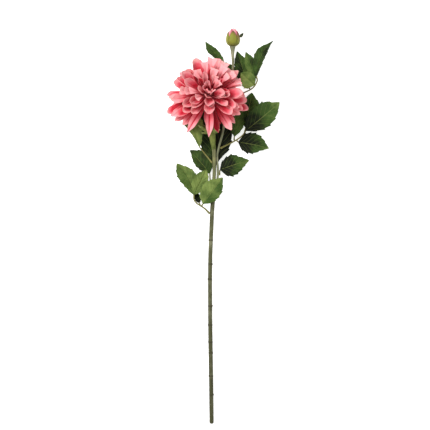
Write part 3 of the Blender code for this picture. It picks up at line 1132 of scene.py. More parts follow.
WHORLS = (
    Whorl(
        "petal_whorl_1", 107, 0.0660, 12, 5.453, 0.0000, 0.0168, 42, 14, "DPBSBPBSBPSB", lift=0.25,
        sizes={
            0: 0.84, 1: 0.62, 2: 0.92, 3: 0.98, 4: 0.94, 5: 0.85, 9: 0.76, 10: 0.92, 11: 0.86,
        },
    ),
    Whorl(
        "petal_whorl_2", 93, 0.0660, 11, 0.50, 0.0025, 0.0172, 46, 10, "SBPSBPPBSBS", lift=0.75,
        sizes={1: 0.93, 2: 0.82, 3: 0.90, 4: 1.03, 5: 1.06, 6: 1.04, 8: 0.92, 9: 0.88},
    ),
    Whorl(
        "petal_whorl_3", 81, 0.0640, 13, 0.45, 0.0050, 0.0180, 50, 8, "BFHSBSSSSBSSS", lift=1.0,
        sizes={0: 0.97, 1: 0.88, 2: 0.79, 3: 0.88, 4: 0.90, 10: 0.94, 11: 0.86}, gap=(140, 220),
    ),
    Whorl(
        "petal_whorl_4", 70, 0.0610, 14, 0.05, 0.0075, 0.0172, 54, 6, "DFDFSBSSSSBSDS", lift=1.25,
        sizes={0: 0.86, 1: 0.96, 2: 0.86, 3: 0.90, 12: 0.86}, gap=(142, 218), droop=2,
    ),
    Whorl(
        "petal_whorl_5", 59, 0.0560, 14, 0.50, 0.0100, 0.0172, 56, 4, "FDHSSSSSSSHSDF", lift=1.75,
        sizes={1: 0.88, 12: 0.88}, gap=(158, 202), droop=4, spread=1.5,
    ),
    Whorl(
        "petal_whorl_6", 48, 0.0500, 13, 0.50, 0.0127, 0.0166, 58, 3, "DFHDSSSSSHSDF", lift=2.25,
        sizes={0: 0.86, 3: 0.88, 11: 0.86}, droop=6, spread=1.5,
    ),
    Whorl(
        "petal_whorl_7", 37, 0.0430, 11, 0.00, 0.0158, 0.0152, 58, 3, "FFDSSSSHFFD", lift=2.75,
        sizes={2: 0.88, 10: 0.88}, droop=7, spread=1.5,
    ),
    Whorl(
        "petal_whorl_8", 25, 0.0365, 7, 0.15, 0.0190, 0.0138, 54, 2, "FFSSSFF", lift=3.0,
        droop=10, spread=1.5,
    ),
)
UNDER_WHORL = Whorl(
    "petal_whorl_1", 111, 0.0640, 12, 5.953, 0.0000, 0.0168, 40, 10, "DDBBSBBSBBBD",
    sizes={
        0: 0.60, 1: 0.60, 3: 0.96, 4: 0.94, 5: 0.90, 6: 0.90, 7: 0.90, 8: 0.80, 9: 0.80, 10: 0.72,
        11: 0.60,
    },
)
HEART_WHORL = Whorl(
    "petal_whorl_8", 14, 0.0270, 5, 0.60, 0.0215, 0.0116, 66, 2, "SHSSH", lift=3.0, droop=6
)


@dataclass
class Bloom:
    """The open bloom: the whorls of petals on their peg, the calyx behind them and its sepals.

    The spreads are how far a petal may differ from its whorl's others, either way.
    """

    base: Vector = Vector((-0.0265, 0.2243, 0.0449))
    lean: float = radians(20)
    lay: float = 0.003
    peg_radius: float = 0.0045
    peg_taper: float = 0.095
    hub_slant: float = 0.0040
    hub_overlap: float = 0.001
    hub_gap: float = 0.0009
    hub_thickness: float = 0.0006
    bend_start: float = 0.4
    curl_start: float = 0.6
    root_width: float = 0.0028
    root_cup: float = 0.3
    cup_places: tuple[float, ...] = (0.0, 0.2, 0.55, 1.0)
    closest_cup: float = radians(84)
    thickness: float = 0.0005
    spacing_spread: float = 0.07
    tilt_spread: float = radians(8.0)
    roll_spread: float = radians(17.0)
    size_spread: float = 0.07
    tip_spread: float = 0.02
    curl_spread: float = 9.0
    cup_spread: float = 0.12
    twist_spread: float = radians(16)
    sway_spread: float = 0.0035
    groove: float = 0.0007
    groove_width: float = 0.13
    fold: float = 0.0006
    fold_place: float = 0.45
    fold_width: float = 0.16
    wave: float = 0.0004
    steps_along: int = 24
    steps_across: int = 16
    spine_steps: int = 200
    shape_seed: int = 100
    ring_seed: int = 11
    calyx_foot: Vector = Vector((-0.0178, 0.1346, 0.0188))
    calyx_handle: Vector = Vector((-0.0240, 0.1850, 0.0130))
    calyx_reach: tuple[float, float] = (0.040, 0.0045)
    calyx_steps: int = 60
    calyx_radii: tuple[tuple[float, float], ...] = (
        (0.0, 0.0034), (0.08, 0.0040), (0.20, 0.0062),
        (0.36, 0.0082), (0.80, 0.0094), (1.0, 0.0125),
    )
    sepal_step: int = 13
    sepal_seat: float = 0.0062
    sepal_width: float = 0.0042
    sepal_arch: float = 0.0012
    sepal_tips: tuple[Point, ...] = (
        (-0.0450, 0.1767, 0.0260), (-0.0395, 0.1640, 0.0190), (-0.0130, 0.1760, 0.0310),
        (-0.0070, 0.1700, 0.0230), (-0.0120, 0.1800, 0.0100), (-0.0380, 0.1800, 0.0060),
    )
    whorls: tuple[Whorl, ...] = WHORLS
    under: Whorl = UNDER_WHORL
    heart: Whorl = HEART_WHORL

    def build(self, ring: BladeRing, rod: Rod) -> None:
        """Builds every piece of the bloom.

        Args:
            ring: sets the petals about the axis.
            rod: makes the calyx.
        """
        petal = PetalFinish().material()
        pose = Pose(tuple(self.base), -self.lean, self.lay)
        added = {0: self.under, len(self.whorls) - 1: self.heart}
        for number, whorl in enumerate(self.whorls):
            carrier = self._hub(whorl)
            if number in added:
                seed = number + len(self.whorls) + 1
                carrier = self._whorl(ring, added[number], seed, petal, carrier, Pose())
            mesh = self._whorl(ring, whorl, number, petal, carrier, pose)
            place_piece(mesh, whorl.name, "petal")
        self._dress_peg()
        self._build_calyx(rod)

    def _whorl(
        self,
        ring: BladeRing,
        whorl: Whorl,
        number: int,
        finish: bpy.types.Material,
        carrier: bpy.types.Mesh,
        pose: Pose,
    ) -> bpy.types.Mesh:
        """Sets one whorl's petals about the axis.

        Args:
            ring: sets the petals about the axis.
            whorl: its sizes.
            number: what seeds its differences.
            finish: the petals' material.
            carrier: what they are joined to.
            pose: how the whole stands.

        Returns:
            The carrier and the petals as one mesh.
        """
        chance = np.random.default_rng(self.shape_seed + number)
        shapes = []
        for place, letter in enumerate(whorl.petals):
            ending = Tip.of(letter)
            grid = self.petal(whorl, place, ending, chance.uniform(-1, 1, 5))
            name = f"{whorl.name}.{place:02d}"
            shapes.append(sheet_mesh(name, grid, self.thickness, ending.tone))
        hole, slope = self._seat(whorl)
        values = {
            "Count": whorl.count,
            "Turn": float(whorl.turn),
            "Spacing Spread": self.spacing_spread * whorl.spread,
            "Ring Radius": hole + self.hub_slant * sin(slope),
            "Seat Height": whorl.seat + self.hub_slant * cos(slope),
            "Gap Start": radians(whorl.gap[0]),
            "Gap End": radians(whorl.gap[1]),
            "Tilt Spread": self.tilt_spread,
            "Roll Spread": self.roll_spread * whorl.spread,
            "Size Spread": self.size_spread * whorl.spread,
            # painted light by depth: the inner whorls paler than the lower ones
            "Tint Lift": whorl.lift,
            "Seed": self.ring_seed + number,
            "Material": finish,
        }
        return ring.set_blades(whorl.name, shapes, carrier, pose, values)

    def _seat(self, whorl: Whorl) -> tuple[float, float]:
        """The radius of a whorl's hole and the angle of its hub from the axis, in radians."""
        slope = radians(whorl.angle - self.bend_start * whorl.bend)
        return self.peg_radius - self.peg_taper * whorl.seat + self.hub_gap, slope

    def _hub(self, whorl: Whorl) -> bpy.types.Mesh:
        """Makes the thin ring that a whorl's petals are joined at.

        Args:
            whorl: the whorl.

        Returns:
            The ring as a closed sheet.
        """
        hole, slope = self._seat(whorl)
        turns = np.linspace(0, 2 * pi, 4 * whorl.count + 1)[None, :]
        reach = np.linspace(0, 1, 4)[:, None] * (self.hub_slant + self.hub_overlap)
        radius = hole + reach * sin(slope)
        height = whorl.seat + reach * cos(slope) + 0 * turns
        grid = np.stack([radius * np.sin(turns), radius * np.cos(turns), height], axis=-1)
        return sheet_mesh(f"{whorl.name}.hub", grid[:, :-1], self.hub_thickness)

    def petal(self, whorl: Whorl, place: int, ending: Ending, own: np.ndarray) -> np.ndarray:
        """Shapes one petal, with its root at the origin and pointing along +Y.

        Args:
            whorl: the petal's whorl.
            place: its place in the whorl.
            ending: how it opens out and ends.
            own: five numbers between minus one and one that make this petal differ.

        Returns:
            The grid of its points.
        """
        across = np.linspace(-1, 1, self.steps_across + 1)[None, :]
        along = np.linspace(0, 1, self.steps_along + 1)[:, None]
        drop = ending.round * across**2 + ending.notch * (1 - abs(across)) ** 1.3
        reach = along - (drop + self.tip_spread * own[0] * across) * along**5
        fine = np.linspace(0, 1, self.spine_steps + 1)
        azimuth = (place + whorl.turn) * 2 * pi / whorl.count
        start = radians(whorl.angle - self.bend_start * whorl.bend - whorl.droop * cos(azimuth))
        curl = radians(ending.curl + self.curl_spread * own[1])
        lay = start + radians(whorl.bend) * fine + curl * eased(fine, self.curl_start, 1.05)
        pace = whorl.length / self.spine_steps
        out, rise = (pace * np.cumsum([0, *turn(lay[:-1])]) for turn in (np.sin, np.cos))
        spine_out, spine_up, lay = (np.interp(reach, fine, values) for values in (out, rise, lay))
        width = whorl.width * ending.breadth
        half = (self.root_width + (width - self.root_width) * self._swell(along, ending)) / 2
        opening = (self.root_cup, 1, ending.middle_cup, ending.end_cup)
        cup = radians(whorl.cup) * np.interp(along, self.cup_places, opening)
        cup = np.minimum(cup * (1 + self.cup_spread * own[2]), self.closest_cup)
        bow = half / np.sin(cup)
        sideways = bow * np.sin(cup * across)
        hollow = (1 - ending.fold) * bow * (1 - np.cos(cup * across))
        hollow = hollow + ending.fold * abs(sideways) * np.tan(cup / 2)
        hollow = hollow + self._creases(across, along)
        twist = self.twist_spread * own[3] * along**2
        inward = sideways * np.sin(twist) + hollow * np.cos(twist)
        sideways = sideways * np.cos(twist) - hollow * np.sin(twist)
        sideways = sideways + self.sway_spread * own[4] * along**2
        parts = (sideways, spine_out - np.cos(lay) * inward, spine_up + np.sin(lay) * inward)
        return np.stack(parts, axis=-1) * whorl.sizes.get(place, 1.0)

    @staticmethod
    def _swell(along: np.ndarray, ending: Ending) -> np.ndarray:
        """Finds how much of its full width a petal has along it.

        Args:
            along: the shares of the length.
            ending: how the petal opens out and ends.

        Returns:
            The share of the width at each of them.
        """
        share = np.clip(along / ending.widest_at, 0, 1)
        growth = (share if ending.funnel else np.sin(pi / 2 * share)) ** ending.flare
        past = np.clip((along - ending.widest_at) / (1 - ending.widest_at), 0, 1)
        fall = ending.end_width + (1 - ending.end_width) * np.sqrt(1 - past**2)
        return np.where(along < ending.widest_at, growth, fall)

    def _creases(self, across: np.ndarray, along: np.ndarray) -> np.ndarray:
        """Presses a middle groove, two long folds and a wavy margin into a petal.

        Args:
            across: the places from margin to margin, from minus one to one.
            along: the shares of the length.

        Returns:
            The height of the relief at each point.
        """
        body = np.sin(pi * np.clip(along, 0, 1) ** 0.8)
        groove = -self.groove * np.exp(-((across / self.groove_width) ** 2)) * body
        beside = (abs(across) - self.fold_place) / self.fold_width
        folds = self.fold * np.exp(-(beside**2)) * body
        ripple = np.sin(along * 19 + across * 1.4) * eased(along, 0.3, 0.8)
        return groove + folds + self.wave * abs(across) ** 3 * ripple

    def _dress_peg(self) -> None:
        """Gives the peg that the whorls are threaded on its own finish."""
        finish = BarkFinish("petal heart", *colours("4A0414 8E0A26 B01838 6A0820"))
        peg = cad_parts["receptacle"]
        peg.data.materials.clear()
        peg.data.materials.append(finish.material())
        LOG.info("receptacle: kept, with the heart's finish")

    def _build_calyx(self, rod: Rod) -> None:
        """Builds the ribbed trumpet behind the bloom and the sepals round it.

        Args:
            rod: makes the trumpet.
        """
        axis = Vector((0, sin(self.lean), cos(self.lean)))
        handle, end = (self.base - reach * axis for reach in self.calyx_reach)
        course = (self.calyx_foot, self.calyx_handle, handle, end)
        points = interpolate_bezier(*course, self.calyx_steps)
        radii = np.interp(np.linspace(0, 1, self.calyx_steps), *zip(*self.calyx_radii))
        skin = BarkFinish("calyx skin", *colours("364218 5C692A 7F8C43 545F2A"), streak=60.0)
        values = {
            "Sides": 48,
            "Rib Count": 10.0,
            "Rib Height": 0.00025,
            "Grain Height": 0.0003,
            "Grain Scale": 300.0,
            "Material": skin.material(),
        }
        path = np.array([tuple(point) for point in points])
        place_rod(rod, "calyx", "calyx", path, radii, values)
        self._build_sepals(Vector(points[self.sepal_step]))

    def _build_sepals(self, middle: Vector) -> None:
        """Builds the thin sepals that spread from the calyx.

        Args:
            middle: the point of the calyx's axis that they spread from.
        """
        green = SepalFinish("sepal cloth", *colours("8C9A4C 84964A B0BA74 8A8048")).material()
        for number, tip in enumerate(self.sepal_tips, 1):
            outward = Vector(tip) - middle
            outward.y = 0
            seat = middle + outward.normalized() * self.sepal_seat
            width, arch = self.sepal_width, self.sepal_arch
            blade = Leaf(f"sepal_{number}", tuple(seat), tip, width, arch=arch, teeth=0)
            grid = blade.grid(steps_along=14, steps_across=6)
            mesh = sheet_mesh(blade.name, grid, self.thickness)
            place_piece(mesh, blade.name, "sepal", green)


# ------ Leaves ------


LEAF_STUB = 0.0006
LEAF_END = 0.0004
LEAF_FOLD = 0.16
LEAF_CLEARANCE = 0.0006
MIDRIB_DEPTH = 0.0005
VEIN_HEIGHT = 0.00035
MEASURED_AT = (0.12, 0.30, 0.50, 0.70, 0.87)


@dataclass(frozen=True)
class Leaf:
    """One leaf blade: where it starts and ends, its width, and how it is turned and curved.

    The roll about the midrib is in degrees. The arch lifts the midrib, the sway bends it sideways,
    and the shade runs from zero, deep green, to one, light green. The lowest values partly stand
    for leaves lying in shadow behind others, as painted shade. The painted side light is how much
    lighter the right half is painted than the left, and the painted tip light how much lighter the
    tip is painted than the base: painted light and shade on the blade's facets.
    The left and right half widths are in millimetres at the measured shares of the length.
    """

    name: str
    base: Point
    tip: Point
    width: float
    roll: float = 0.0
    arch: float = 0.0
    sway: float = 0.0
    skew: float = 0.72
    fullness: float = 0.85
    teeth: int = 6
    tooth: float = 0.075
    wave: float = 0.0014
    shade: float = 0.2
    painted_side_light: float = 0.0
    painted_tip_light: float = 0.0
    left: tuple[float, ...] = ()
    right: tuple[float, ...] = ()

    def half_width(self, along: np.ndarray, measured: tuple[float, ...]) -> np.ndarray:
        """The distance from the midrib to one margin.

        Args:
            along: the shares of the length that it is read at, as one column.
            measured: half widths in millimetres at the measured shares, or none for an even oval.

        Returns:
            The distances in metres.
        """
        if not measured:
            oval = np.sin(pi * np.clip(along, 0, 1) ** self.skew).clip(0) ** self.fullness
            return LEAF_STUB + (self.width / 2 - LEAF_STUB) * oval
        fine = np.linspace(0, 1, 101)
        widths = (LEAF_STUB, *(width / 1000 for width in measured), LEAF_END)
        plain = np.interp(fine, (0, *MEASURED_AT, 1), widths)
        window = np.hanning(13)
        soft = np.convolve(np.pad(plain, 6, mode="edge"), window / window.sum(), mode="valid")
        ends = eased(fine, 0.0, 0.06) * eased(fine, 1.0, 0.94)
        return np.interp(along, fine, soft * ends + plain * (1 - ends))

    def shades(self, steps_along: int, steps_across: int) -> np.ndarray:
        """Finds how light the blade is, painted light and shade included.

        Args:
            steps_along: faces from base to tip.
            steps_across: faces from margin to margin.

        Returns:
            The shade at each point of the grid.
        """
        along = np.linspace(-0.5, 0.5, steps_along + 1)[:, None]
        across = np.linspace(-1, 1, steps_across + 1)[None, :]
        sides = eased(across, -0.12, 0.12) - 0.5
        # Painted light: the lit half lighter than the shaded one, and the tip lighter than the
        # base.
        return self.shade + self.painted_tip_light * along + self.painted_side_light * sides

    def grid(self, steps_along: int, steps_across: int) -> np.ndarray:
        """Shapes the blade.

        Args:
            steps_along: faces from base to tip.
            steps_across: faces from margin to margin.

        Returns:
            The grid of its points, above the floor everywhere.
        """
        base, tip = Vector(self.base), Vector(self.tip)
        way = (tip - base).normalized()
        side = Matrix.Rotation(radians(self.roll), 3, way) @ way.cross(UP).normalized()
        top = np.array(side.cross(way))
        along = np.linspace(0, 1, steps_along + 1)[:, None]
        across = np.linspace(-1, 1, steps_across + 1)[None, :]
        left, right = (self.half_width(along, measured) for measured in (self.left, self.right))
        half = np.where(across < 0, left, right)
        share = np.minimum(1, 2 * half / self.width)
        saw = (along * self.teeth) % 1.0
        bite = self.tooth * self.width * (saw**1.3 - 0.45) * share * abs(across) ** 5
        flat = across * half + np.sign(across) * bite * (self.teeth > 0)
        run = along + 0.5 * bite / (tip - base).length
        middle = np.array(base) + run[..., None] * np.array(tip - base)
        veins = np.cos((along - VEIN_RAKE * abs(across)) * VEIN_PAIRS * 2 * pi)
        ripple = np.sin(along * 13 + across * 2.1 + self.tip[0] * 90)
        lift = self.arch * np.sin(pi * along) + LEAF_FOLD * half * abs(across)
        lift = lift + VEIN_HEIGHT * veins * np.sin(pi * abs(across)) * share
        lift = lift + self.wave * abs(across) ** 2 * ripple
        lift = lift - MIDRIB_DEPTH * np.exp(-((across / 0.06) ** 2)) * share
        sideways = flat + self.sway * np.sin(pi * along)
        spots = middle + sideways[..., None] * np.array(side) + lift[..., None] * top
        spots[..., 2] = np.maximum(spots[..., 2], LEAF_CLEARANCE)
        return spots


LEAVES = (
    Leaf(
        "leaf_top_left", (0.0026, 0.2788, 0.0070), (-0.0327, 0.3271, 0.0008), 0.0175, 12, 0.004,
        shade=0.20, painted_side_light=0.10,
        left=(2.0, 4.2, 8.0, 10.0, 6.0), right=(3.0, 7.0, 8.0, 5.2, 2.6),
    ),
    Leaf(
        "leaf_top_right", (0.0572, 0.2645, 0.0158), (0.0865, 0.3279, 0.0010), 0.0200, -14, 0.008,
        sway=-0.0060, shade=0.18, painted_side_light=-0.15,
        left=(4.6, 10.5, 12.5, 9.6, 4.4), right=(3.4, 7.6, 8.4, 6.6, 3.2),
    ),
    Leaf(
        "leaf_top_back", (0.0410, 0.2530, 0.0045), (0.0235, 0.3090, 0.0045), 0.0265,
        shade=0.20, painted_side_light=0.25,
        left=(7.0, 12.0, 13.4, 11.0, 6.0), right=(8.0, 13.0, 13.4, 10.0, 5.0),
    ),
    Leaf(
        "leaf_top_middle", (0.0562, 0.2602, 0.0137), (0.0385, 0.3078, 0.0095), 0.0210, 4, 0.001,
        shade=0.38, painted_side_light=-0.30, painted_tip_light=0.2,
        left=(7.0, 10.0, 10.5, 8.5, 4.5), right=(4.0, 8.5, 10.5, 9.0, 4.8),
    ),
    Leaf(
        "leaf_top_inner", (0.0535, 0.2485, 0.0152), (0.0300, 0.2700, 0.0165), 0.0260, 0, 0.001,
        shade=0.84, painted_side_light=-0.4,
        left=(12.0, 16.5, 15.5, 12.0, 6.5), right=(8.0, 12.5, 13.0, 11.0, 7.0),
    ),
    Leaf(
        "leaf_top_far", (0.0405, 0.2525, 0.0014), (0.0028, 0.2896, 0.0010), 0.0170,
        shade=0.12,
    ),
    Leaf(
        "leaf_right_large", (0.0385, 0.1683, 0.0164), (0.0987, 0.2192, 0.0012), 0.0430, 6, 0.008,
        shade=0.22, painted_side_light=0.10, painted_tip_light=1.05,
        left=(15.0, 21.5, 23.0, 20.5, 8.5), right=(10.5, 18.5, 20.0, 15.0, 8.0),
    ),
    Leaf(
        "leaf_right_back", (0.0384, 0.1740, 0.0092), (0.0494, 0.2358, 0.0030), 0.0340, -4, 0.001,
        shade=0.10, painted_tip_light=0.2,
        left=(10.0, 15.0, 17.0, 15.0, 8.0), right=(5.0, 11.0, 17.0, 18.0, 9.0),
    ),
    Leaf(
        "leaf_right_lower", (0.0253, 0.1481, 0.0152), (0.0794, 0.1378, 0.0030), 0.0380, -6, 0.006,
        shade=0.08, painted_side_light=0.10, painted_tip_light=1.15,
        left=(16.0, 20.0, 21.0, 15.0, 7.5), right=(12.5, 18.0, 16.5, 9.0, 4.5),
    ),
    Leaf(
        "leaf_right_inner", (0.0184, 0.1583, 0.0114), (0.0225, 0.2130, 0.0090), 0.0240, 0, 0.002,
        shade=0.22, painted_side_light=0.15,
        left=(6.0, 11.0, 12.0, 11.0, 7.0), right=(8.0, 14.5, 16.0, 14.0, 8.0),
    ),
    # Lies in shadow behind the stalks: its low shade is painted shade.
    Leaf(
        "leaf_behind_right", (-0.0138, 0.1080, 0.0092), (0.0040, 0.2030, 0.0024), 0.0340, 2,
        shade=-0.35,
        left=(4.0, 8.0, 12.5, 13.0, 8.0), right=(4.7, 17.0, 19.4, 16.0, 8.0),
    ),
    # Lies in shadow under the bloom and the upper left leaf: its low shade is painted shade.
    Leaf(
        "leaf_behind_left", (-0.0150, 0.1080, 0.0053), (-0.0390, 0.2120, 0.0020), 0.0320, 8,
        shade=0.02,
        left=(9.5, 17.5, 21.0, 19.0, 12.0), right=(6.0, 11.0, 15.0, 15.5, 11.0),
    ),
    Leaf(
        "leaf_left_upper", (-0.0432, 0.1396, 0.0163), (-0.0620, 0.2020, 0.0080), 0.0320, 4, 0.002,
        shade=0.66, painted_side_light=0.20, painted_tip_light=-0.3,
        left=(2.8, 5.2, 10.0, 15.0, 12.0), right=(6.5, 11.0, 17.0, 18.0, 12.0),
    ),
    Leaf(
        "leaf_left_middle", (-0.0252, 0.0931, 0.0119), (-0.0600, 0.1340, 0.0090), 0.0300, 6, 0.003,
        shade=0.14, painted_side_light=-0.1, painted_tip_light=0.2,
        left=(6.0, 10.0, 11.5, 8.5, 3.5), right=(14.0, 21.0, 22.0, 17.0, 8.5),
    ),
    Leaf(
        "leaf_right_middle", (-0.0071, 0.0996, 0.0134), (0.0441, 0.1163, 0.0012), 0.0390, -6, 0.005,
        shade=0.14, painted_side_light=0.10, painted_tip_light=1.05,
        left=(12.0, 17.5, 19.0, 12.5, 6.0), right=(15.5, 19.5, 17.5, 11.0, 5.0),
    ),
    Leaf(
        "leaf_low_outer", (-0.0534, 0.0554, 0.0140), (-0.0833, 0.1105, 0.0008), 0.0300, 10, 0.005,
        sway=0.0050, shade=0.60, painted_side_light=0.14, painted_tip_light=-0.1,
        left=(6.3, 13.0, 17.0, 15.5, 8.6), right=(7.6, 13.6, 14.8, 12.6, 6.2),
    ),
    Leaf(
        "leaf_low_inner", (-0.0525, 0.0556, 0.0150), (-0.0312, 0.0995, 0.0140), 0.0250, 0, 0.003,
        shade=0.80, painted_side_light=0.05,
        left=(7.5, 13.0, 14.5, 12.5, 6.5), right=(6.5, 11.5, 12.5, 11.5, 7.0),
    ),
    Leaf(
        "leaf_low_front", (-0.0369, 0.0393, 0.0212), (-0.0025, 0.0852, 0.0270), 0.0310, 0, 0.006,
        shade=0.66, painted_side_light=-0.40,
        left=(13.0, 18.0, 20.0, 17.0, 8.0), right=(8.2, 14.0, 16.0, 13.6, 6.6),
    ),
    # A small leaf in shadow behind the lower spray: its low shade is painted shade.
    Leaf(
        "leaf_low_back", (-0.0439, 0.0416, 0.0094), (-0.0510, 0.0620, 0.0040), 0.0110,
        shade=-0.2,
    ),
)


@dataclass(frozen=True)
class Wire:
    """One stiff leaf wire: its radius and the points that it passes."""

    name: str
    radius: float
    points: tuple[Point, ...]


WIRES = (
    Wire(
        "wire_left_low", 0.0013,
        (
            (-0.0258, 0.0226, 0.0152), (-0.0340, 0.0309, 0.0168), (-0.0427, 0.0365, 0.0160),
            (-0.0489, 0.0411, 0.0152), (-0.0529, 0.0468, 0.0146), (-0.0531, 0.0548, 0.0142),
        ),
    ),
    Wire(
        "wire_left_low_front", 0.0009,
        ((-0.0398, 0.0348, 0.0190), (-0.0383, 0.0370, 0.0200), (-0.0372, 0.0388, 0.0210)),
    ),
    Wire(
        "wire_left_low_back", 0.0009,
        ((-0.0425, 0.0370, 0.0132), (-0.0430, 0.0390, 0.0115), (-0.0436, 0.0412, 0.0098)),
    ),
    Wire(
        "wire_left_middle", 0.0010,
        ((-0.0228, 0.0735, 0.0158), (-0.0246, 0.0830, 0.0134), (-0.0250, 0.0925, 0.0120)),
    ),
    Wire(
        "wire_left_upper", 0.0011,
        (
            (-0.0216, 0.1120, 0.0196), (-0.0310, 0.1240, 0.0180), (-0.0400, 0.1350, 0.0168),
            (-0.0428, 0.1390, 0.0164),
        ),
    ),
    Wire(
        "wire_behind", 0.0010,
        ((-0.0160, 0.0850, 0.0124), (-0.0152, 0.0960, 0.0092), (-0.0145, 0.1090, 0.0074)),
    ),
    Wire(
        "wire_right_middle", 0.0010,
        ((-0.0078, 0.0905, 0.0156), (-0.0076, 0.0945, 0.0146), (-0.0074, 0.0985, 0.0138)),
    ),
    Wire(
        "wire_right", 0.0013,
        (
            (-0.0058, 0.1376, 0.0134), (0.0115, 0.1463, 0.0140), (0.0247, 0.1537, 0.0148),
            (0.0335, 0.1608, 0.0156), (0.0380, 0.1676, 0.0162),
        ),
    ),
    Wire(
        "wire_right_lower", 0.0009,
        ((0.0232, 0.1500, 0.0146), (0.0240, 0.1491, 0.0150), (0.0248, 0.1485, 0.0152)),
    ),
    Wire(
        "wire_right_inner", 0.0009,
        ((0.0179, 0.1524, 0.0139), (0.0180, 0.1550, 0.0128), (0.0183, 0.1576, 0.0116)),
    ),
    Wire(
        "wire_right_back", 0.0009,
        ((0.0362, 0.1652, 0.0134), (0.0370, 0.1690, 0.0114), (0.0380, 0.1732, 0.0096)),
    ),
    Wire(
        "wire_top", 0.0012,
        (
            (0.0075, 0.2050, 0.0070), (0.0212, 0.2261, 0.0078), (0.0330, 0.2345, 0.0090),
            (0.0459, 0.2406, 0.0112), (0.0529, 0.2460, 0.0134), (0.0584, 0.2561, 0.0152),
            (0.0572, 0.2638, 0.0158),
        ),
    ),
    Wire(
        "wire_top_back", 0.0009,
        ((0.0455, 0.2425, 0.0090), (0.0440, 0.2470, 0.0058), (0.0412, 0.2530, 0.0030)),
    ),
    Wire(
        "wire_top_left", 0.0010,
        ((0.0098, 0.2630, 0.0058), (0.0062, 0.2710, 0.0064), (0.0030, 0.2782, 0.0070)),
    ),
)


@dataclass
class Foliage:
    """The leaf sprays: wires wrapped in green tape, and the leaf blades on them.

    A wire runs on a little past both its ends, into what it joins. Its tape swells where it
    leaves what carries it and closes to a narrower end.
    """

    wires: tuple[Wire, ...] = WIRES
    leaves: tuple[Leaf, ...] = LEAVES
    reach: float = 0.0009
    wire_step: float = 0.0008
    swell: float = 0.6
    swell_steps: float = 8.0
    end_share: float = 0.6
    thickness: float = 0.0005
    steps_along: int = 56
    steps_across: int = 24

    def build(self, rod: Rod) -> None:
        """Builds every wire and leaf.

        Args:
            rod: makes the wires.
        """
        greens = colours("55542A 76723C 8C8850 56502C")
        tape = BarkFinish("wire tape", *greens, streak=500.0, contrast=0.6, depth=0.00012)
        values = {
            "Sides": 12,
            "Grain Height": 0.0002,
            "Grain Scale": 600.0,
            "Material": tape.material(),
        }
        for wire in self.wires:
            path = smooth_path(wire.points, self.wire_step)
            start = path[0] - self.reach * unit(path[1] - path[0])
            end = path[-1] + self.reach * unit(path[-1] - path[-2])
            path = np.concatenate([[start], path, [end]])
            fade = np.exp(np.arange(len(path)) / -self.swell_steps)
            radii = wire.radius * (1 + self.swell * fade)
            radii[[0, -1]] *= self.end_share
            place_rod(rod, wire.name, "leaf_wire", path, radii, values)
        cloth = LeafFinish().material()
        for leaf in self.leaves:
            grid = leaf.grid(self.steps_along, self.steps_across)
            shades = leaf.shades(self.steps_along, self.steps_across)
            mesh = sheet_mesh(leaf.name, grid, self.thickness, shades)
            place_piece(mesh, leaf.name, "leaf", cloth)


# ------ The bud ------


@dataclass(frozen=True)
class BudRow:
    """One ring of the bud's blades.

    The stand is their distance from the axis as a share of the egg's radius, the top is where
    their tips are as a share of its length, the spread is half their widest angle about the axis
    in radians and the turn is the first one's azimuth in spacings.
    """

    stand: float
    top: float
    spread: float
    turn: float
    seed: int


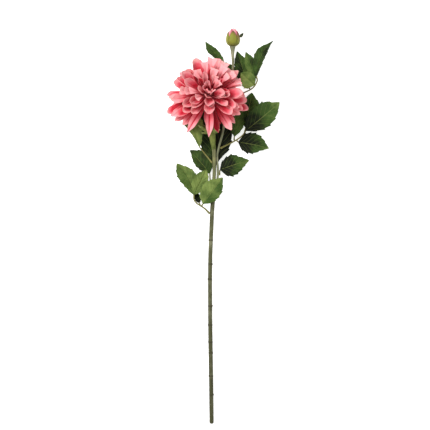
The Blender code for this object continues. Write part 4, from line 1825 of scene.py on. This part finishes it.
@dataclass
class Bud:
    """The closed bud: overlapping green sepals round an egg, with pink petals at its tip.

    The radii are in millimetres, at the heights as shares of the length.
    """

    foot: Vector = Vector((0.0157, 0.3164, 0.0132))
    lean: float = radians(-4)
    lay: float = 0.0020
    level_lay: float = 0.0002
    length: float = 0.0324
    heights: tuple[float, ...] = (
        0.0, 0.05, 0.09, 0.17, 0.30, 0.49, 0.69, 0.81, 0.88, 0.94, 1.0, 1.06,
    )
    radii: tuple[float, ...] = (3.0, 6.4, 8.4, 10.8, 12.1, 12.0, 10.3, 8.5, 7.1, 5.6, 3.4, 0.8)
    inner: BudRow = BudRow(0.96, 0.86, 0.62, 0.0, 31)
    outer: BudRow = BudRow(1.04, 0.84, 0.56, 0.5, 32)
    petals: BudRow = BudRow(0.93, 1.06, 0.80, 0.25, 33)
    row_count: int = 5
    spacing_spread: float = 0.05
    size_spread: float = 0.015
    tint_lift: float = 1.0
    root_height: float = 0.05
    least_radius: float = 0.0006
    thickness: float = 0.0005
    side: Leaf = Leaf(
        "bud_side_sepal", (0.0281, 0.3335, 0.0140), (0.0341, 0.3401, 0.0175), 0.0056, teeth=0
    )
    side_thickness: float = 0.0006

    def profile(self, share: np.ndarray) -> np.ndarray:
        """Reads the egg's smoothed outline.

        Args:
            share: the heights, as shares of the length.

        Returns:
            The radius at each of them.
        """
        fine = np.linspace(0, self.heights[-1], 107)
        plain = np.interp(fine, self.heights, np.array(self.radii) / 1000)
        soft = np.convolve(np.pad(plain, 4, mode="edge"), np.full(9, 1 / 9), mode="valid")
        return np.interp(share, fine, soft)

    def build(self, ring: BladeRing) -> None:
        """Builds the bud's sepals, petals and side sepal.

        Args:
            ring: sets the sepals and petals about the bud's axis.
        """
        # The dark third colour is the sepals' tip colour. It also goes on their margins: painted
        # shade where the sepals overlap.
        greens = colours("6E7226 808222 4A4016 7A4030")
        blush = {"blush_start": 0.244, "blush_end": 0.256}
        green = SepalFinish("bud sepal cloth", *greens, mottle=0.55, **blush).material()
        pose = Pose(tuple(self.foot), self.lean - pi / 2, self.lay)
        shell = self._core("bud_calyx.shell", low=0.04, high=0.86, fill=0.93, sides=32)
        shell = self._ring(ring, self.inner, shell, green, Pose(lay=self.level_lay))
        place_piece(self._ring(ring, self.outer, shell, green, pose), "bud_calyx", "bud_sepal")
        pinks = colours("A84058 CC6C7E DE929A E8AAAC EEC2BC")
        pink = PetalFinish("bud petal cloth", *pinks, veins=6).material()
        core = self._core("bud_petals.core", low=0.10, high=0.96, fill=0.86, sides=24)
        place_piece(self._ring(ring, self.petals, core, pink, pose), "bud_petals", "bud_petal")
        grid = self.side.grid(steps_along=12, steps_across=6)
        mesh = sheet_mesh(self.side.name, grid, self.side_thickness)
        dark = SepalFinish("side sepal cloth", *colours("3C4A22 2E3E20 3E5028 3E5028"))
        place_piece(mesh, self.side.name, "sepal", dark.material())

    def _core(self, name: str, low: float, high: float, fill: float, sides: int) -> bpy.types.Mesh:
        """Turns the solid that a ring of blades closes round.

        Args:
            name: the mesh's name.
            low: where it starts, as a share of the length.
            high: where it ends.
            fill: its radius as a share of the egg's.
            sides: faces round it.

        Returns:
            The closed mesh.
        """
        shares = np.linspace(low, high, 16)
        radii = self.profile(shares) * fill
        return turned_mesh(name, list(zip(radii, shares * self.length)), sides)

    def _sepal(self, row: BudRow) -> bpy.types.Mesh:
        """Makes one blade that hugs the egg.

        Args:
            row: its row's sizes.

        Returns:
            The closed sheet, with its root on the axis's foot.
        """
        along = np.linspace(0, 1, 21)[:, None]
        across = np.linspace(-1, 1, 13)[None, :]
        height = self.root_height + (row.top - self.root_height) * along
        tapered = 1.0 - ((along - 0.5) / 0.5) ** 2.2 * 0.93
        turn = row.spread * np.where(along < 0.5, 0.75 + 0.5 * along, tapered) * across
        lift = 1 + 0.05 * eased(along, 0.75, 1.0) - 0.035 * abs(across) ** 2
        radius = np.maximum(self.profile(height) * row.stand * lift, self.least_radius)
        parts = (radius * np.sin(turn), radius * np.cos(turn), height * self.length + 0 * turn)
        return sheet_mesh("sepal", np.stack(parts, axis=-1)[:, ::-1], self.thickness)

    def _ring(
        self,
        ring: BladeRing,
        row: BudRow,
        carrier: bpy.types.Mesh,
        finish: bpy.types.Material,
        pose: Pose,
    ) -> bpy.types.Mesh:
        """Sets one row of blades about the bud's axis.

        Args:
            ring: the tree that sets them.
            row: their sizes.
            carrier: what they are joined to.
            finish: the material.
            pose: how the whole stands.

        Returns:
            The carrier and the blades as one mesh.
        """
        values = {
            "Count": self.row_count,
            "Turn": row.turn,
            "Spacing Spread": self.spacing_spread,
            "Size Spread": self.size_spread,
            "Tint Lift": self.tint_lift,
            "Seed": row.seed,
            "Material": finish,
        }
        return ring.set_blades(f"bud.{row.seed}", [self._sepal(row)], carrier, pose, values)


# ------ The stem and its stalks ------


@dataclass
class Stem:
    """The knotted main stem and the two stalks that it forks into.

    The knots are the places along +Y where they stand. The bud stalk has its radius beside each
    of its points, and widens under the bud.
    """

    route: tuple[Point, ...] = (
        (-0.0219, -0.3496, 0.0041), (-0.0229, -0.2646, 0.0078), (-0.0243, -0.1750, 0.0098),
        (-0.0245, -0.0700, 0.0122), (-0.0221, 0.0000, 0.0140), (-0.0207, 0.0309, 0.0150),
        (-0.0178, 0.0637, 0.0163), (-0.0166, 0.0775, 0.0170),
    )
    radius: float = 0.0038
    end_round: float = 0.0018
    fork_radius: float = 0.0056
    fork_length: float = 0.0100
    knots: tuple[float, ...] = (
        -0.298, -0.2646, -0.224, -0.2046, -0.1746, -0.141, -0.0934, -0.0669, -0.0245,
    )
    knot_rise: float = 0.0010
    knot_half: float = 0.00135
    knot_reach: float = 0.012
    step: float = 0.0010
    grain: float = 0.0006
    stalk_grain: float = 0.0003
    grain_scale: float = 260.0
    flower_stalk: tuple[Point, ...] = (
        (-0.0186, 0.0781, 0.0170), (-0.0173, 0.0880, 0.0173), (-0.0171, 0.1120, 0.0182),
        (-0.0174, 0.1250, 0.0187), (-0.0179, 0.1362, 0.0188),
    )
    flower_stalk_radius: float = 0.0032
    bud_stalk: tuple[tuple[Point, float], ...] = (
        ((-0.0127, 0.0782, 0.0166), 0.0021), ((-0.0112, 0.0870, 0.0162), 0.0021),
        ((-0.0111, 0.1025, 0.0154), 0.0020), ((-0.0122, 0.1237, 0.0142), 0.0020),
        ((-0.0092, 0.1390, 0.0128), 0.0020), ((-0.0018, 0.1679, 0.0098), 0.0020),
        ((0.0072, 0.2250, 0.0052), 0.0019), ((0.0116, 0.2560, 0.0042), 0.0019),
        ((0.0160, 0.2819, 0.0078), 0.0022), ((0.0152, 0.3023, 0.0116), 0.0027),
        ((0.0151, 0.3100, 0.0122), 0.0036), ((0.0151, 0.3172, 0.0126), 0.0053),
    )

    def build(self, rod: Rod) -> None:
        """Builds the stem and the stalks.

        Args:
            rod: makes them.
        """
        self._build_stem(rod)
        path = smooth_path(self.flower_stalk, self.step)
        radii = np.full(len(path), self.flower_stalk_radius)
        browns = colours("464A28 747550 8C8C5C 565430")
        self._build_stalk(rod, "flower_stalk", path, radii, browns)
        points, widths = zip(*self.bud_stalk)
        path = smooth_path(points, self.step)
        radii = np.interp(path[:, 1], [point[1] for point in points], widths)
        self._build_stalk(rod, "bud_stalk", path, radii, colours("5E6248 7E8264 9E9C7E 6A6A48"))

    def _build_stem(self, rod: Rod) -> None:
        """Builds the main stem: a rounded cut end, knots and a swelling at the fork.

        Args:
            rod: makes it.
        """
        path = smooth_path(self.route, self.step)
        along = path[:, 1]
        end = eased(along, along[0] + self.end_round, along[0])
        fork = eased(along, along[-1] - self.fork_length, along[-1])
        radii = self.radius - self.end_round * end + (self.fork_radius - self.radius) * fork
        knot, scar = np.zeros(len(path)), np.zeros(len(path))
        for number, place in enumerate(self.knots):
            knot = np.maximum(knot, np.exp(-(((along - place) / self.knot_half) ** 2)))
            scar[abs(along - place) < self.knot_reach] = (number % 2) * pi + 0.5 * number
        greys = colours("38381F 565738 75755A 34301C")
        bark = BarkFinish("stem bark", *greys, aged=colour("2E2E14"), ageing=0.55)
        values = {
            "Sides": 28,
            "Knot Rise": self.knot_rise,
            "Grain Height": self.grain,
            "Grain Scale": self.grain_scale,
            "Material": bark.material(),
        }
        marks = {"knot": knot, "scar": scar}
        place_rod(rod, "main_stem", "stem", path, radii, values, marks)

    def _build_stalk(
        self, rod: Rod, name: str, path: np.ndarray, radii: np.ndarray, shades: Sequence[Colour]
    ) -> None:
        """Builds a stalk without knots.

        Args:
            rod: the tree that makes it.
            name: the node's name.
            path: the points that it follows.
            radii: its radius at each point.
            shades: the dark, the base, the light and the knot colour of its skin.
        """
        title = name.replace("_", " ") + " skin"
        values = {
            "Sides": 20,
            "Grain Height": self.stalk_grain,
            "Grain Scale": self.grain_scale,
            "Material": BarkFinish(title, *shades, contrast=0.7, depth=0.00015).material(),
        }
        place_rod(rod, name, "stalk", path, radii, values)


# ------ The studio ------


@dataclass
class Studio:
    """A pale floor, soft light and a camera straight above the stem.

    The camera frames the view width at the height of the plane. Each light has its place, its
    width and its power in watts, and all face the aim.
    """

    middle: tuple[float, float] = (-0.0159, 0.0196)
    view_width: float = 0.759
    height: float = 3.2
    plane: float = 0.012
    sensor: float = 36.0
    floor_size: float = 6.0
    floor_drop: float = 0.0003
    clip: float = 20.0
    world: Colour = (1.0, 1.0, 1.0, 1.0)
    world_strength: float = 0.62
    key: tuple[Point, float, float] = ((-1.1, 1.0, 1.9), 0.9, 48.0)
    fill: tuple[Point, float, float] = ((1.4, -0.8, 1.7), 1.4, 9.0)
    aim: Vector = Vector((0.0, 0.15, 0.0))

    def build(self) -> None:
        """Builds the camera, the lights, the world and the floor."""
        self._camera()
        self._light("key", *self.key)
        self._light("fill", *self.fill)
        scene = bpy.context.scene
        scene.view_settings.view_transform = "Standard"
        scene.world = bpy.data.worlds.new("studio")
        scene.world.use_nodes = True
        background = scene.world.node_tree.nodes["Background"]
        background.inputs["Color"].default_value = self.world
        background.inputs["Strength"].default_value = self.world_strength
        self._floor()

    def _camera(self) -> None:
        """Hangs the camera above the stem, looking straight down, with +Y up in its view."""
        lens = bpy.data.cameras.new("camera")
        lens.sensor_width = self.sensor
        lens.lens = self.sensor * (self.height - self.plane) / self.view_width
        lens.clip_end = self.clip
        camera = bpy.data.objects.new("camera", lens)
        camera.location = (*self.middle, self.height)
        bpy.context.scene.collection.objects.link(camera)
        bpy.context.scene.camera = camera

    def _light(self, name: str, place: Point, size: float, power: float) -> None:
        """Hangs one softbox.

        Args:
            name: the light's name.
            place: where it hangs.
            size: its width.
            power: its power in watts.
        """
        data = bpy.data.lights.new(name, "AREA")
        data.shape = "SQUARE"
        data.size = size
        data.energy = power
        light = bpy.data.objects.new(name, data)
        light.location = place
        facing = self.aim - Vector(place)
        light.rotation_euler = facing.to_track_quat("-Z", "Y").to_euler()
        bpy.context.scene.collection.objects.link(light)

    def _floor(self) -> None:
        """Lays the floor under the stem."""
        half = self.floor_size / 2
        mesh = bpy.data.meshes.new("floor")
        corners = [(-half, -half), (half, -half), (half, half), (-half, half)]
        mesh.from_pydata([(x, y, -self.floor_drop) for x, y in corners], [], [(0, 1, 2, 3)])
        mesh.materials.append(FloorFinish().material())
        floor = bpy.data.objects.new("floor", mesh)
        bpy.context.scene.collection.objects.link(floor)


def main() -> None:
    """Builds the studio and every piece, and reports each."""
    logging.basicConfig(level=logging.INFO, format="%(name)s: %(message)s")
    Studio().build()
    ring, rod = BladeRing(), Rod()
    Stem().build(rod)
    Bloom().build(ring, rod)
    Bud().build(ring)
    Foliage().build(rod)


if __name__ == "__main__":
    main()
